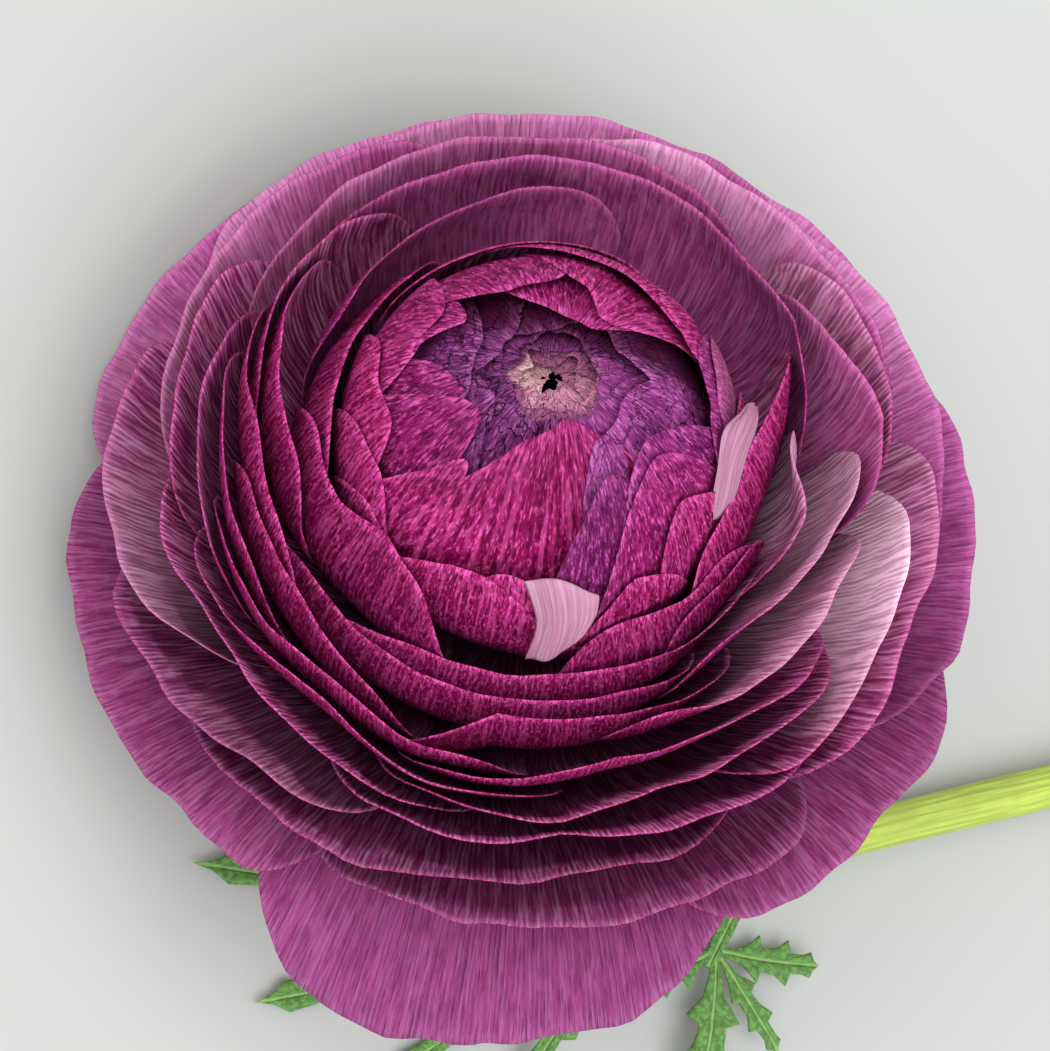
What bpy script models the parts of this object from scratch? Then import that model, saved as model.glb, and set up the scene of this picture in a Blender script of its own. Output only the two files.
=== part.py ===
"""Ranunculus flower as picked, lying on a surface: bloom, calyx, bent stem and two cut leaves.

Petals stand in rows round the bloom's axis. A row gives where the middle of the petal's rim
points, how wide it is and how far out its rim stands, and the section function says how a petal
with such a rim rises from the receptacle. Sections of growing rim nest inside each other.
"""

import math

import bmesh
import bpy
import numpy as np
from mathutils import Matrix, Vector

MM = 0.001
GAP = 0.3
BOWL_GAP = 0.35

# Bloom, in millimetres, in its own frame: axis along +Z, base of the petals at the origin.
BALL_RADIUS = 21.5
BALL_HEIGHT = 22.5
BALL_ROOT_ANGLE = -70.0
BALL_SINK_PER_DEGREE = 0.08
RIM_LIFT = 0.7
EYE_RADIUS = 4.4
EYE_DIP = 2.6
EYE_DIP_WIDTH = 6.5
EYE_FLOOR = 37.7
DISH_RIM = 39.6
CORE_DEPTH = 1.7
CORE_SIDES = 24
PETAL_THICK = 0.6
PETAL_BANDS = 3
WIDE_PETAL = 30
WIDE_STRIPS = 6
NARROW_STRIPS = 4
STRIP_WIDTH = 12.0
RUFFLE = 0.35
RUFFLE_WAVES = 5
INNER_PHASE = 1.7
OUTER_PHASE = 2.4
SHOULDER_DROP = 0.30
SHOULDER_POWER = 5
SHOULDER_REACH = 1.18
ROOT_WIDTH = 0.6
FULL_WIDTH_AT = 0.55
AZIMUTHS = np.arange(0, 360, 3)

# Limits of the rims' radius, and how far a rim keeps from the petals inside it.
INNER_LIMITS = (4.9, 21.2)
INNER_CLEAR = 0.4
OUTER_LIMITS = (20.5, 52.0)
OUTER_CLEAR = 1.1

# Share of its section at which a petal leaves the core, or the bowl for rims up to a radius.
INNER_START = 0.5
OUTER_STARTS = ((31, 0.52), (36, 0.46), (60, 0.30))

# The eye: the profile of its tuft, and how its petals stand round it.
EYE_PROFILE = ((0, 37.7), (4.4, 37.7), (4.4, 39.0), (3.6, 40.0), (1.5, 40.5), (0.9, 39.4), (0, 39.0))
EYE_SIDES = 18
EYE_PETALS = 6
EYE_PETAL_HEIGHT = 3.5
EYE_PETAL_SEAT = 0.8
EYE_PETAL_LEAN = 0.5
EYE_PETAL_TWIST = 0.25
EYE_PETAL_TURNS = (1.15, 0.55)
EYE_RING = (1.5, 3.8)

# How the bloom stands over the surface: its axis, its right-hand side and its base height.
BLOOM_AXIS = (-0.246, 0.542, 0.803)
BLOOM_RIGHT = (0.774, -0.388, 0.500)
BASE_HEIGHT = 18.0

# The point under the middle of the whole flower, seen from the base of the petals.
MIDDLE = (18.5, -10.5)

# The stem: how thick it leaves the calyx, where it reaches the surface, its node and its cut end.
STEM_RADIUS = 2.25
STEM_FLARE = 1.45
STEM_BEND = (15.5, -30.5)
BEND_HEADING = Vector((0.46, -0.89, 0.0))
STEM_NODE = (38.0, -42.1)
STEM_END = (84.0, -45.0)
STEM_HEADING = Vector((1.0, -0.062, 0.0))
STEM_HANDLES = (12.0, 10.0, 9.0, 18.0)

CALYX_RADIUS = 4.4
CALYX_SIDES = 20
SEPALS = 5
FIRST_SEPAL = math.radians(20)
SEPAL_THICK = 0.7
SEPAL_HALF_WIDTH = 3.8
SEPAL_PATH = ((1.4, -0.1), (7.0, -0.2), (12.5, -0.9), (17.0, -3.2))
SEPAL_SEAT = 0.55
SEPAL_STEP = 0.12
SEPAL_CUP = 0.03
DISC_THICK = 1.6
SURFACE_SOFTNESS = 2.0
LEAF_THICK = 0.9
LEAF_ARCH = 2.4
LEAF_REACH = 40.0
STALK_LENGTH = 9.0
STALK_HALF_WIDTH = 1.1
GOLDEN_ANGLE = math.radians(137.5)
SMOOTH_ANGLE = math.radians(50)

# One side of a leaf lobe: share of its length and share of its half width, three teeth.
LOBE_EDGE = (
    (0.16, 0.26), (0.28, 0.40), (0.42, 1.05), (0.46, 0.52), (0.58, 0.58), (0.70, 1.00),
    (0.74, 0.44), (0.84, 0.42), (0.92, 0.56), (0.95, 0.20)
)

# Each leaf: where its stalk starts by the stem, its heading in degrees, and its lobes as turn
# from the heading, length and half width.
LEAVES = (
    ("leaf_left", (24.3, -42.7), 174,
     ((-13, 52.5, 2.9), (4.5, 46, 3.0), (24, 35, 2.4), (46, 24, 2.4))),
    ("leaf_right", (29.6, -43.95), 221,
     ((-38, 11, 2.4), (24, 17, 3.2), (68, 13, 1.8), (116, 12.5, 2.4))),
)

INNER_COLOUR = (0.36, 0.020, 0.115)
OUTER_COLOUR = (0.32, 0.065, 0.180)
EYE_COLOUR = (0.52, 0.300, 0.290)
CALYX_COLOUR = (0.20, 0.300, 0.060)
STEM_COLOUR = (0.37, 0.460, 0.060)
LEAF_COLOUR = (0.08, 0.200, 0.040)

# Rims of the ball: azimuth of the middle, half width in degrees, rim radius, skew and bow.
INNER_ROWS = (
    (0, 70, 5.0, 0.0, 0.5),
    (197, 20, 9.0, -2.0, 1.0),
    (166, 22, 9.5, 0.5, 1.0),
    (87, 47, 5.5, 0.5, 2.0),
    (128, 29, 9.5, 1.0, 1.0),
    (67, 32, 7.5, 0.5, 2.0),
    (166, 27, 12.0, -0.5, 2.0),
    (212, 24, 9.0, -3.0, 2.5),
    (189, 27, 15.0, -1.0, 2.5),
    (229, 15, 12.9, -2.5, 0.0),
    (281, 50, 5.9, -2.1, 3.4),
    (300, 20, 12.5, -3.5, 2.0),
    (335, 30, 11.0, -0.5, 3.5),
    (324, 28, 13.0, -2.5, 3.5),
    (74, 46, 14.0, 1.5, 0.5),
    (41, 22, 14.0, 0.5, 0.5),
    (16, 27, 13.5, 0.5, 3.0),
    (22, 22, 16.5, 0.5, 1.0),
    (110, 40, 17.0, 0.0, 1.0),
    (10, 20, 18.5, 1.5, 1.0),
    (336, 21, 16.0, -1.0, 1.5),
    (209, 25, 18.0, 0.0, 1.5),
    (290, 34, 18.0, 0.5, 0.5),
    (250, 46, 19.0, -0.3, 0.4),
)

# Rims outside the ball: the same five numbers, then how far the rim hangs below its section.
OUTER_ROWS = (
    (170, 40, 20.8, 0.4, 0.0, 0.0),
    (0, 34, 20.5, 3.0, 3.0, 0.0),
    (318, 30, 21.5, 0.5, 0.5, 4.5),
    (128, 39, 24.5, -2.5, 0.5, 0.0),
    (332, 19, 23.3, 0.0, 0.5, 6.0),
    (288, 56, 24.3, 0.5, 1.2, 7.5),
    (358, 20, 25.0, -1.0, -1.0, 2.0),
    (179, 31, 27.0, -3.0, -1.5, 0.0),
    (157, 27, 27.0, -2.0, -1.5, 0.0),
    (262, 52, 27.0, 0.5, -0.5, 7.0),
    (193, 32, 28.5, -0.5, 0.5, 0.0),
    (83, 60, 30.5, 3.0, -6.0, 0.0),
    (344, 30, 30.5, 2.0, 0.5, 0.0),
    (225, 30, 30.0, 2.0, 0.5, 1.0),
    (276, 46, 29.5, 0.0, -1.0, 5.0),
    (24, 24, 31.5, 1.5, -3.0, 0.0),
    (199, 27, 32.0, 1.0, -1.0, 0.0),
    (238, 36, 32.0, 2.5, 0.0, 0.0),
    (328, 30, 34.0, 0.5, -2.0, 0.0),
    (191, 28, 34.0, 0.5, -0.5, 0.0),
    (110, 48, 34.5, 0.0, -2.0, 0.0),
    (300, 38, 35.0, 2.0, -0.5, 0.0),
    (243, 37, 35.5, 3.0, -1.0, 0.0),
    (32, 22, 36.5, 0.0, -1.5, 0.0),
    (176, 24, 37.0, -1.0, -1.5, 0.0),
    (60, 42, 37.5, 0.0, -1.5, 0.0),
    (298, 38, 38.0, 1.0, -1.0, 0.0),
    (230, 36, 38.0, 2.5, -0.5, 0.0),
    (342, 27, 39.0, 1.5, -3.5, 0.0),
    (150, 36, 39.0, 0.0, -1.0, 0.0),
    (289, 37, 40.5, 1.0, -0.5, 0.0),
    (92, 44, 41.0, 0.0, -1.5, 1.0),
    (352, 28, 41.5, 0.0, 0.0, 0.0),
    (195, 27, 43.0, -0.5, -2.0, 0.0),
    (228, 26, 43.5, -1.0, -1.5, 0.0),
    (268, 41, 44.0, -1.5, -1.5, 0.0),
    (34, 30, 43.5, 0.0, -1.5, 2.0),
    (125, 30, 44.5, -0.5, -1.5, 3.0),
    (62, 30, 45.0, 0.0, -1.5, 3.0),
    (288, 34, 46.0, 0.0, 0.5, 0.0),
    (160, 28, 45.5, 0.5, -1.5, 2.5),
    (92, 28, 46.0, 0.0, -1.5, 3.0),
    (8, 28, 46.0, -1.5, -2.0, 1.0),
    (216, 32, 47.5, 1.5, -3.0, 1.0),
    (330, 26, 48.0, 0.0, -2.0, 1.0),
    (277, 31, 52.0, -1.0, -2.5, 0.0),
)

# Sections outside the ball: rim radius, then five points (radius, height) from root to rim.
OUTER_SECTIONS = (
    (20.5, (3.1, 4.2), (13.4, 7.2), (21.1, 14.2), (23.3, 22.0), (20.2, 31.4)),
    (24.0, (3.2, 4.0), (14.0, 7.0), (22.6, 13.4), (25.7, 21.8), (24.0, 31.0)),
    (28.0, (3.6, 3.2), (15.5, 5.9), (25.0, 12.2), (29.0, 21.0), (28.0, 30.4)),
    (33.0, (4.0, 2.4), (16.5, 4.6), (26.8, 10.6), (31.7, 18.6), (33.0, 27.5)),
    (38.0, (4.3, 1.7), (17.0, 3.4), (28.3, 8.6), (34.4, 16.0), (38.0, 23.4)),
    (42.0, (4.6, 1.0), (17.5, 2.2), (29.3, 6.2), (37.0, 12.0), (42.0, 18.0)),
    (46.0, (5.0, 0.3), (18.0, 0.9), (30.5, 3.2), (39.5, 6.8), (46.0, 10.5)),
    (52.0, (5.2, -0.3), (18.0, 0.0), (31.0, 0.6), (42.6, -2.6), (51.6, -9.4)),
)

# The core of the ball and the bowl that it sits in: first and last angle, and points, of the arcs
# of their profiles round the middle of the ball.
CORE_LOW_ARC = (-84, -26, 5)
CORE_HIGH_ARC = (-14, 58, 6)
BOWL_ARC = (-15, -86, 6)
BOWL_SIDES = 30

# Radius and height round the outside of the bowl, from its foot to where it meets the ball.
BOWL_PROFILE = (
    (0.0, -1.6), (7.0, -1.5), (18.5, -1.1), (23.5, 1.2),
    (28.0, 6.6), (30.6, 12.4), (30.0, 16.4), (21.3, 17.2)
)


def material(name, colour, roughness):
    made = bpy.data.materials.new(name)
    made.use_nodes = True
    shader = made.node_tree.nodes["Principled BSDF"]
    shader.inputs["Base Color"].default_value = (*colour, 1)
    shader.inputs["Roughness"].default_value = roughness
    shader.inputs["Metallic"].default_value = 0
    return made


def add_object(name, mesh, parent=None, looks=None):
    made = bpy.data.objects.new(name, mesh)
    bpy.context.collection.objects.link(made)
    made.parent = parent
    if looks:
        mesh.materials.append(looks)
    return made


def through(points, s):
    """A smooth curve through evenly spaced points, at shares s of the way."""
    points = np.asarray(points, float)
    ends = np.vstack([2 * points[0] - points[1], points, 2 * points[-1] - points[-2]])
    place = np.clip(s, 0, 1) * (len(points) - 1)
    piece = np.minimum(place.astype(int), len(points) - 2)
    t = (place - piece)[..., None]
    a, b, c, d = (ends[piece + k] for k in range(4))
    bend = (2 * a - 5 * b + 4 * c - d) * t**2 + (3 * b - a - 3 * c + d) * t**3
    return 0.5 * (2 * b + (c - a) * t + bend)


def ball_section(rim, s):
    """Radius and height along a petal of the ball: it ends on the ball and dips inside it below."""
    top = np.degrees(np.arccos(np.clip(rim / BALL_RADIUS, 0, 1)))
    angle = np.radians(BALL_ROOT_ANGLE + s * (top - BALL_ROOT_ANGLE))
    sink = BALL_SINK_PER_DEGREE * (top - BALL_ROOT_ANGLE) * (1 - s)
    lift = RIM_LIFT * s**8 * (1 - (rim / BALL_RADIUS) ** 4)
    reach = BALL_RADIUS - sink + lift - EYE_DIP * np.exp(-((rim / EYE_DIP_WIDTH) ** 2)) * s
    return reach * np.cos(angle), BALL_HEIGHT + reach * np.sin(angle)


def outer_section(rim, s):
    """Radius and height along a petal outside the ball, between the two nearest sections."""
    rims = np.array([row[0] for row in OUTER_SECTIONS])
    curves = np.array([through(row[1:], s) for row in OUTER_SECTIONS])
    place = np.interp(rim, rims, np.arange(len(rims)))
    low = np.minimum(place.astype(int), len(rims) - 2)
    share = (place - low)[..., None]
    index = np.indices(rim.shape)
    mixed = curves[(low, *index)] * (1 - share) + curves[(low + 1, *index)] * share
    return mixed[..., 0], mixed[..., 1]


def cleared_rims(rows, limits, clear):
    """Each row's rim radius over the azimuths, pushed out where petals inside it are in the way."""
    taken = np.zeros(len(AZIMUTHS))
    rims = []
    for azimuth, half_width, rim, skew, bow, *_ in rows:
        q = ((AZIMUTHS - azimuth + 180) % 360 - 180) / half_width
        covered = np.abs(q) <= SHOULDER_REACH
        q = np.clip(q, -SHOULDER_REACH, SHOULDER_REACH)
        wanted = np.clip(rim + skew * q + bow * q**2, *limits)
        push = np.where(covered, np.maximum(taken + clear - wanted, 0), 0)
        widest = np.max([np.roll(push, k) for k in range(-2, 3)], axis=0)
        push = np.mean([np.roll(widest, k) for k in range(-2, 3)], axis=0)
        rims.append(np.minimum(wanted + push, limits[1]))
        taken = np.where(covered, np.maximum(taken, rims[-1]), taken)
    return rims


def petal_grid(row, rims, section, first_share, across, along, phase):
    """Points of a petal's middle surface, root to rim and side to side, in millimetres."""
    azimuth, half_width = row[:2]
    hang = row[5] if len(row) > 5 else 0
    q = np.linspace(-SHOULDER_REACH, SHOULDER_REACH, across + 1)[None, :]
    v = np.linspace(0, 1, along + 1)[:, None]
    share = first_share + (1 - first_share) * v
    narrow = ROOT_WIDTH + (1 - ROOT_WIDTH) * np.minimum(v / FULL_WIDTH_AT, 1)
    turned = azimuth + half_width * q * narrow
    theta = np.radians(turned)
    rim_radius = np.interp(turned, AZIMUTHS, rims, period=360)
    rim_radius = rim_radius + RUFFLE * v**2 * np.sin(RUFFLE_WAVES * theta + phase)
    s = share * (1 - SHOULDER_DROP * v * np.abs(q / SHOULDER_REACH) ** SHOULDER_POWER)
    radius, height = section(rim_radius, s)
    height = height - hang * s**3
    return np.stack([radius * np.cos(theta), radius * np.sin(theta), height], axis=-1)


def blade(name, grid, thickness):
    """A closed solid of even thickness round a grid, split into the same triangles on both faces."""
    along = np.gradient(grid, axis=0)
    across = np.gradient(grid, axis=1)
    normal = np.cross(across, along)
    normal /= np.linalg.norm(normal, axis=-1, keepdims=True)
    rows, columns = grid.shape[:2]
    mesh_data = bmesh.new()
    sides = []
    for sign in (0.5, -0.5):
        points = (grid + sign * thickness * normal).reshape(-1, 3) * MM
        sides.append([mesh_data.verts.new(point) for point in points])
    front, back = sides
    for i in range(rows - 1):
        for j in range(columns - 1):
            a, b = i * columns + j, i * columns + j + 1
            c, d = a + columns + 1, a + columns
            for triangle in ((a, b, c), (a, c, d)):
                mesh_data.faces.new([front[k] for k in triangle])
                mesh_data.faces.new([back[k] for k in reversed(triangle)])
    edge = list(range(columns))
    edge += [i * columns + columns - 1 for i in range(1, rows)]
    edge += [(rows - 1) * columns + j for j in range(columns - 2, -1, -1)]
    edge += [i * columns for i in range(rows - 2, 0, -1)]
    for a, b in zip(edge, edge[1:] + edge[:1]):
        mesh_data.faces.new([front[a], back[a], back[b]])
        mesh_data.faces.new([front[a], back[b], front[b]])
    bmesh.ops.recalc_face_normals(mesh_data, faces=mesh_data.faces)
    mesh = bpy.data.meshes.new(name)
    mesh_data.to_mesh(mesh)
    mesh_data.free()
    return mesh


def lathe(name, profile, steps):
    """A solid of revolution: the profile runs from the axis out and back to the axis."""
    mesh_data = bmesh.new()
    points = [mesh_data.verts.new((r * MM, 0, h * MM)) for r, h in profile]
    edges = [mesh_data.edges.new(pair) for pair in zip(points, points[1:])]
    bmesh.ops.spin(
        mesh_data, geom=points + edges, cent=(0, 0, 0), axis=(0, 0, 1),
        angle=2 * math.pi, steps=steps, use_merge=True, use_duplicate=False,
    )
    bmesh.ops.remove_doubles(mesh_data, verts=mesh_data.verts, dist=1e-6)
    bmesh.ops.triangulate(mesh_data, faces=mesh_data.faces)
    bmesh.ops.recalc_face_normals(mesh_data, faces=mesh_data.faces)
    mesh = bpy.data.meshes.new(name)
    mesh_data.to_mesh(mesh)
    mesh_data.free()
    return mesh


def join(base, meshes, solver="EXACT"):
    """Unites the base object with closed meshes that stand in the same frame, and removes them."""
    group = bpy.data.collections.new(base.name + "_pieces")
    bpy.context.scene.collection.children.link(group)
    for index, mesh in enumerate(meshes):
        piece = bpy.data.objects.new(f"{base.name}_piece_{index}", mesh)
        piece.parent = base.parent
        group.objects.link(piece)
    bpy.context.view_layer.update()
    union = base.modifiers.new("Union", "BOOLEAN")
    union.operation = "UNION"
    union.operand_type = "COLLECTION"
    union.collection = group
    union.solver = solver
    bpy.context.view_layer.objects.active = base
    bpy.ops.object.modifier_apply(modifier=union.name)
    for piece in list(group.objects):
        bpy.data.objects.remove(piece)
    bpy.data.collections.remove(group)


def keep_largest_body(obj):
    """Drops the scraps that a union leaves loose, and fills a hollow by dropping its inner surface."""
    mesh_data = bmesh.new()
    mesh_data.from_mesh(obj.data)
    bmesh.ops.remove_doubles(mesh_data, verts=mesh_data.verts, dist=2e-6)
    left = set(mesh_data.faces)
    bodies = []
    while left:
        stack = [left.pop()]
        body = list(stack)
        while stack:
            for edge in stack.pop().edges:
                for face in edge.link_faces:
                    if face in left:
                        left.remove(face)
                        body.append(face)
                        stack.append(face)
        bodies.append(body)
    bodies.sort(key=len)
    scraps = [face for body in bodies[:-1] for face in body]
    bmesh.ops.delete(mesh_data, geom=scraps, context="FACES")
    bmesh.ops.dissolve_degenerate(mesh_data, edges=mesh_data.edges, dist=1e-6)
    bmesh.ops.triangulate(mesh_data, faces=mesh_data.faces)
    mesh_data.to_mesh(obj.data)
    mesh_data.free()


def sphere_arc(radius, first, last, steps):
    angles = np.radians(np.linspace(first, last, steps))
    return [(radius * math.cos(t), BALL_HEIGHT + radius * math.sin(t)) for t in angles]


def seat_on_surface(grid, frame, base_height, clear):
    """Bends what would hang below the surface up to it, softly, along the world's vertical."""
    up = np.array(frame.inverted() @ Vector((0, 0, 1)))
    height = base_height + grid @ up
    low = clear + SURFACE_SOFTNESS
    bent = clear + SURFACE_SOFTNESS * np.exp(np.minimum(height - low, 0) / SURFACE_SOFTNESS)
    lifted = np.where(height < low, bent, height)
    return grid + (lifted - height)[..., None] * up


def eye_petal(index, across, along):
    """A small furled petal of the eye, standing from the tuft and leaning over its neighbour."""
    turn = np.linspace(-1, 1, across + 1)[None, :]
    v = np.linspace(0, 1, along + 1)[:, None]
    share = index / (EYE_PETALS - 1)
    lean = EYE_PETAL_LEAN * (1 - v)
    radius = EYE_RING[0] + share * (EYE_RING[1] - EYE_RING[0]) + lean + EYE_PETAL_TWIST * turn
    first_turn, last_turn = EYE_PETAL_TURNS
    theta = index * GOLDEN_ANGLE + turn * (first_turn + share * (last_turn - first_turn))
    rise = EYE_PETAL_HEIGHT * (1 - 0.5 * share) * v
    height = EYE_FLOOR + EYE_PETAL_SEAT + rise * (1 - 0.25 * turn**4)
    return np.stack([radius * np.cos(theta), radius * np.sin(theta), height], axis=-1)


def sepal_grid(theta, top):
    """A pointed sepal that follows the underside of the petals, in the bloom's frame."""
    v = np.linspace(0, 1, 6)
    path = through(SEPAL_PATH, v)
    half = SEPAL_HALF_WIDTH * np.sin(np.pi * (0.10 + 0.84 * v)) ** 0.8
    q = np.linspace(-1, 1, 5)
    out = path[:, 0][:, None] - 0.06 * half[:, None] * q[None, :] ** 2
    side = half[:, None] * q[None, :]
    height = top + path[:, 1][:, None] + SEPAL_CUP * side**2
    x = out * math.cos(theta) - side * math.sin(theta)
    y = out * math.sin(theta) + side * math.cos(theta)
    return np.stack([x, y, height], axis=-1)


def lobe_edge(length, half_width):
    """Points along one side of a cut lobe, from its root to just before its tip."""
    return [(share * length, width * half_width) for share, width in LOBE_EDGE]


def leaf_mesh(name, start, heading, lobes):
    """A cut leaf as one closed plate: the outline runs round the stalk and each lobe in turn."""
    outline = [(0.0, -STALK_HALF_WIDTH), (STALK_LENGTH, -STALK_HALF_WIDTH)]
    for turn, length, half_width in lobes:
        angle = math.radians(turn)
        ahead = Vector((math.cos(angle), math.sin(angle)))
        across = Vector((-ahead.y, ahead.x))
        points = lobe_edge(length, -half_width) + [(length, 0.0)]
        points += list(reversed(lobe_edge(length, half_width)))
        for along, side in points:
            place = Vector((STALK_LENGTH, 0)) + ahead * along + across * side
            outline.append(tuple(place))
    outline += [(STALK_LENGTH, STALK_HALF_WIDTH), (0.0, STALK_HALF_WIDTH)]
    turn = Matrix.Rotation(math.radians(heading), 2)
    mesh_data = bmesh.new()
    faces = []
    for lift in (LEAF_THICK, 0.0):
        ring = []
        for point in outline:
            far = math.hypot(*point)
            x, y = Vector(start) + turn @ Vector(point)
            arch = LEAF_ARCH * math.sin(math.pi * min(far / LEAF_REACH, 1)) ** 2
            ring.append(mesh_data.verts.new((x, y, arch + lift)))
        faces.append(ring)
    top, bottom = faces
    mesh_data.faces.new(top)
    mesh_data.faces.new(list(reversed(bottom)))
    for a in range(len(outline)):
        b = (a + 1) % len(outline)
        mesh_data.faces.new((bottom[a], bottom[b], top[b], top[a]))
    mesh_data.normal_update()
    bmesh.ops.triangulate(mesh_data, faces=mesh_data.faces, ngon_method="EAR_CLIP")
    shift = Vector((base_point.x, base_point.y, 0))
    for vertex in mesh_data.verts:
        vertex.co = (vertex.co + shift) * MM
    mesh = bpy.data.meshes.new(name)
    mesh_data.to_mesh(mesh)
    mesh_data.free()
    return mesh


for leftover in list(bpy.data.objects):
    bpy.data.objects.remove(leftover)

axis = Vector(BLOOM_AXIS).normalized()
right = (Vector(BLOOM_RIGHT) - Vector(BLOOM_RIGHT).project(axis)).normalized()
frame = Matrix((right, axis.cross(right), axis)).transposed()
base_point = Vector((-MIDDLE[0], -MIDDLE[1], BASE_HEIGHT))

bloom = bpy.data.objects.new("bloom_frame", None)
bpy.context.collection.objects.link(bloom)
bloom.matrix_world = Matrix.Translation(base_point * MM) @ frame.to_4x4()

# Inner petals: a core with a dish for the eye, and the ball's petals sunk into it.
core_profile = [(0, BALL_HEIGHT - BALL_RADIUS)]
core_profile += sphere_arc(BALL_RADIUS, *CORE_LOW_ARC)
core_profile += sphere_arc(BALL_RADIUS - CORE_DEPTH, *CORE_HIGH_ARC)
core_profile += [(EYE_RADIUS + 0.5, DISH_RIM), (EYE_RADIUS + 0.4, EYE_FLOOR - GAP)]
core_profile += [(0, EYE_FLOOR - GAP)]
inner = add_object(
    "inner_petals", lathe("inner_petals", core_profile, CORE_SIDES), bloom,
    material("inner_petal", INNER_COLOUR, 0.55),
)
blades = []
rims = cleared_rims(INNER_ROWS, INNER_LIMITS, INNER_CLEAR)
for index, row in enumerate(INNER_ROWS):
    across = NARROW_STRIPS if row[1] < WIDE_PETAL else WIDE_STRIPS
    phase = INNER_PHASE * index
    grid = petal_grid(row, rims[index], ball_section, INNER_START, across, PETAL_BANDS, phase)
    blades.append(blade(f"inner_{index}", grid, PETAL_THICK))
join(inner, blades, "MANIFOLD")
keep_largest_body(inner)

# Eye: a low tuft with a slit, and the last furled petals round it.
eye = add_object(
    "eye", lathe("eye", EYE_PROFILE, EYE_SIDES), bloom, material("eye_petal", EYE_COLOUR, 0.6)
)
blades = []
for index in range(EYE_PETALS):
    grid = eye_petal(index, 5, 2)
    blades.append(blade(f"eye_{index}", grid, PETAL_THICK))
join(eye, blades)
keep_largest_body(eye)

# Outer petals: a shallow bowl that carries the ball, and the rings that rise from it.
bowl_profile = list(BOWL_PROFILE) + sphere_arc(BALL_RADIUS + BOWL_GAP, *BOWL_ARC)
bowl_profile += [(0, BALL_HEIGHT - BALL_RADIUS - BOWL_GAP)]
outer = add_object(
    "outer_petals", lathe("outer_petals", bowl_profile, BOWL_SIDES), bloom,
    material("outer_petal", OUTER_COLOUR, 0.60),
)
blades = []
rims = cleared_rims(OUTER_ROWS, OUTER_LIMITS, OUTER_CLEAR)
for index, row in enumerate(OUTER_ROWS):
    across = NARROW_STRIPS + round(math.radians(row[1]) * row[2] / STRIP_WIDTH)
    start = next(share for radius, share in OUTER_STARTS if row[2] < radius)
    phase = OUTER_PHASE * index
    grid = petal_grid(row, rims[index], outer_section, start, across, PETAL_BANDS, phase)
    grid = seat_on_surface(grid, frame, BASE_HEIGHT, PETAL_THICK / 2)
    blades.append(blade(f"outer_{index}", grid, PETAL_THICK))
join(outer, blades)
keep_largest_body(outer)

# Calyx: five green sepals that spread from a disc under the petals and turn back at the tip.
calyx_top = BOWL_PROFILE[0][1] - GAP
calyx_foot = calyx_top - DISC_THICK
calyx_profile = [(0, calyx_foot), (CALYX_RADIUS, calyx_foot + 0.2), (CALYX_RADIUS, calyx_top)]
calyx_profile += [(0, calyx_top)]
calyx = add_object(
    "calyx", lathe("calyx", calyx_profile, CALYX_SIDES), bloom,
    material("sepal", CALYX_COLOUR, 0.6),
)
blades = []
for index in range(SEPALS):
    theta = 2 * math.pi / SEPALS * index + FIRST_SEPAL
    grid = sepal_grid(theta, calyx_top - SEPAL_SEAT - SEPAL_STEP * index)
    grid = seat_on_surface(grid, frame, BASE_HEIGHT, SEPAL_THICK / 2)
    blades.append(blade(f"sepal_{index}", grid, SEPAL_THICK))
join(calyx, blades)
keep_largest_body(calyx)

# Stem: one smooth bend from the calyx down to the surface and along it to the cut.
stem_start = frame @ Vector((0, 0, calyx_foot - GAP))
low = STEM_RADIUS - BASE_HEIGHT
stem_places = (stem_start, Vector((*STEM_BEND, low)), Vector((*STEM_NODE, low)), Vector((*STEM_END, low)))
stem_headings = (-axis, BEND_HEADING, STEM_HEADING, STEM_HEADING)
route = bpy.data.curves.new("stem", "CURVE")
route.dimensions = "3D"
route.bevel_depth = STEM_RADIUS * MM
route.bevel_resolution = 3
route.resolution_u = 6
route.use_fill_caps = True
spline = route.splines.new("BEZIER")
spline.bezier_points.add(len(stem_places) - 1)
for index, point in enumerate(spline.bezier_points):
    place = base_point + stem_places[index]
    reach = STEM_HANDLES[index] * stem_headings[index].normalized()
    point.co = place * MM
    point.handle_left = (place - reach) * MM
    point.handle_right = (place + reach) * MM
    point.radius = STEM_FLARE if index == 0 else 1.0
stem = add_object("stem", route, None, material("stem", STEM_COLOUR, 0.45))

# Leaves: flat, deeply cut blades on short stalks, lying on the surface by the stem's node.
leaf_looks = material("leaf", LEAF_COLOUR, 0.55)
for name, start, heading, lobes in LEAVES:
    mesh = leaf_mesh(name, start, heading, lobes)
    add_object(name, mesh, None, leaf_looks)

for node in (inner, eye, outer, calyx):
    bpy.ops.object.select_all(action="DESELECT")
    node.select_set(True)
    bpy.context.view_layer.objects.active = node
    bpy.ops.object.shade_smooth_by_angle(angle=SMOOTH_ANGLE)
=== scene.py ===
"""Ranunculus flower as picked: the looks of the bloom, calyx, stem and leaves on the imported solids."""

import math

import bpy
import numpy as np
from mathutils import Matrix, Vector
from mathutils.geometry import interpolate_bezier


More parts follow.
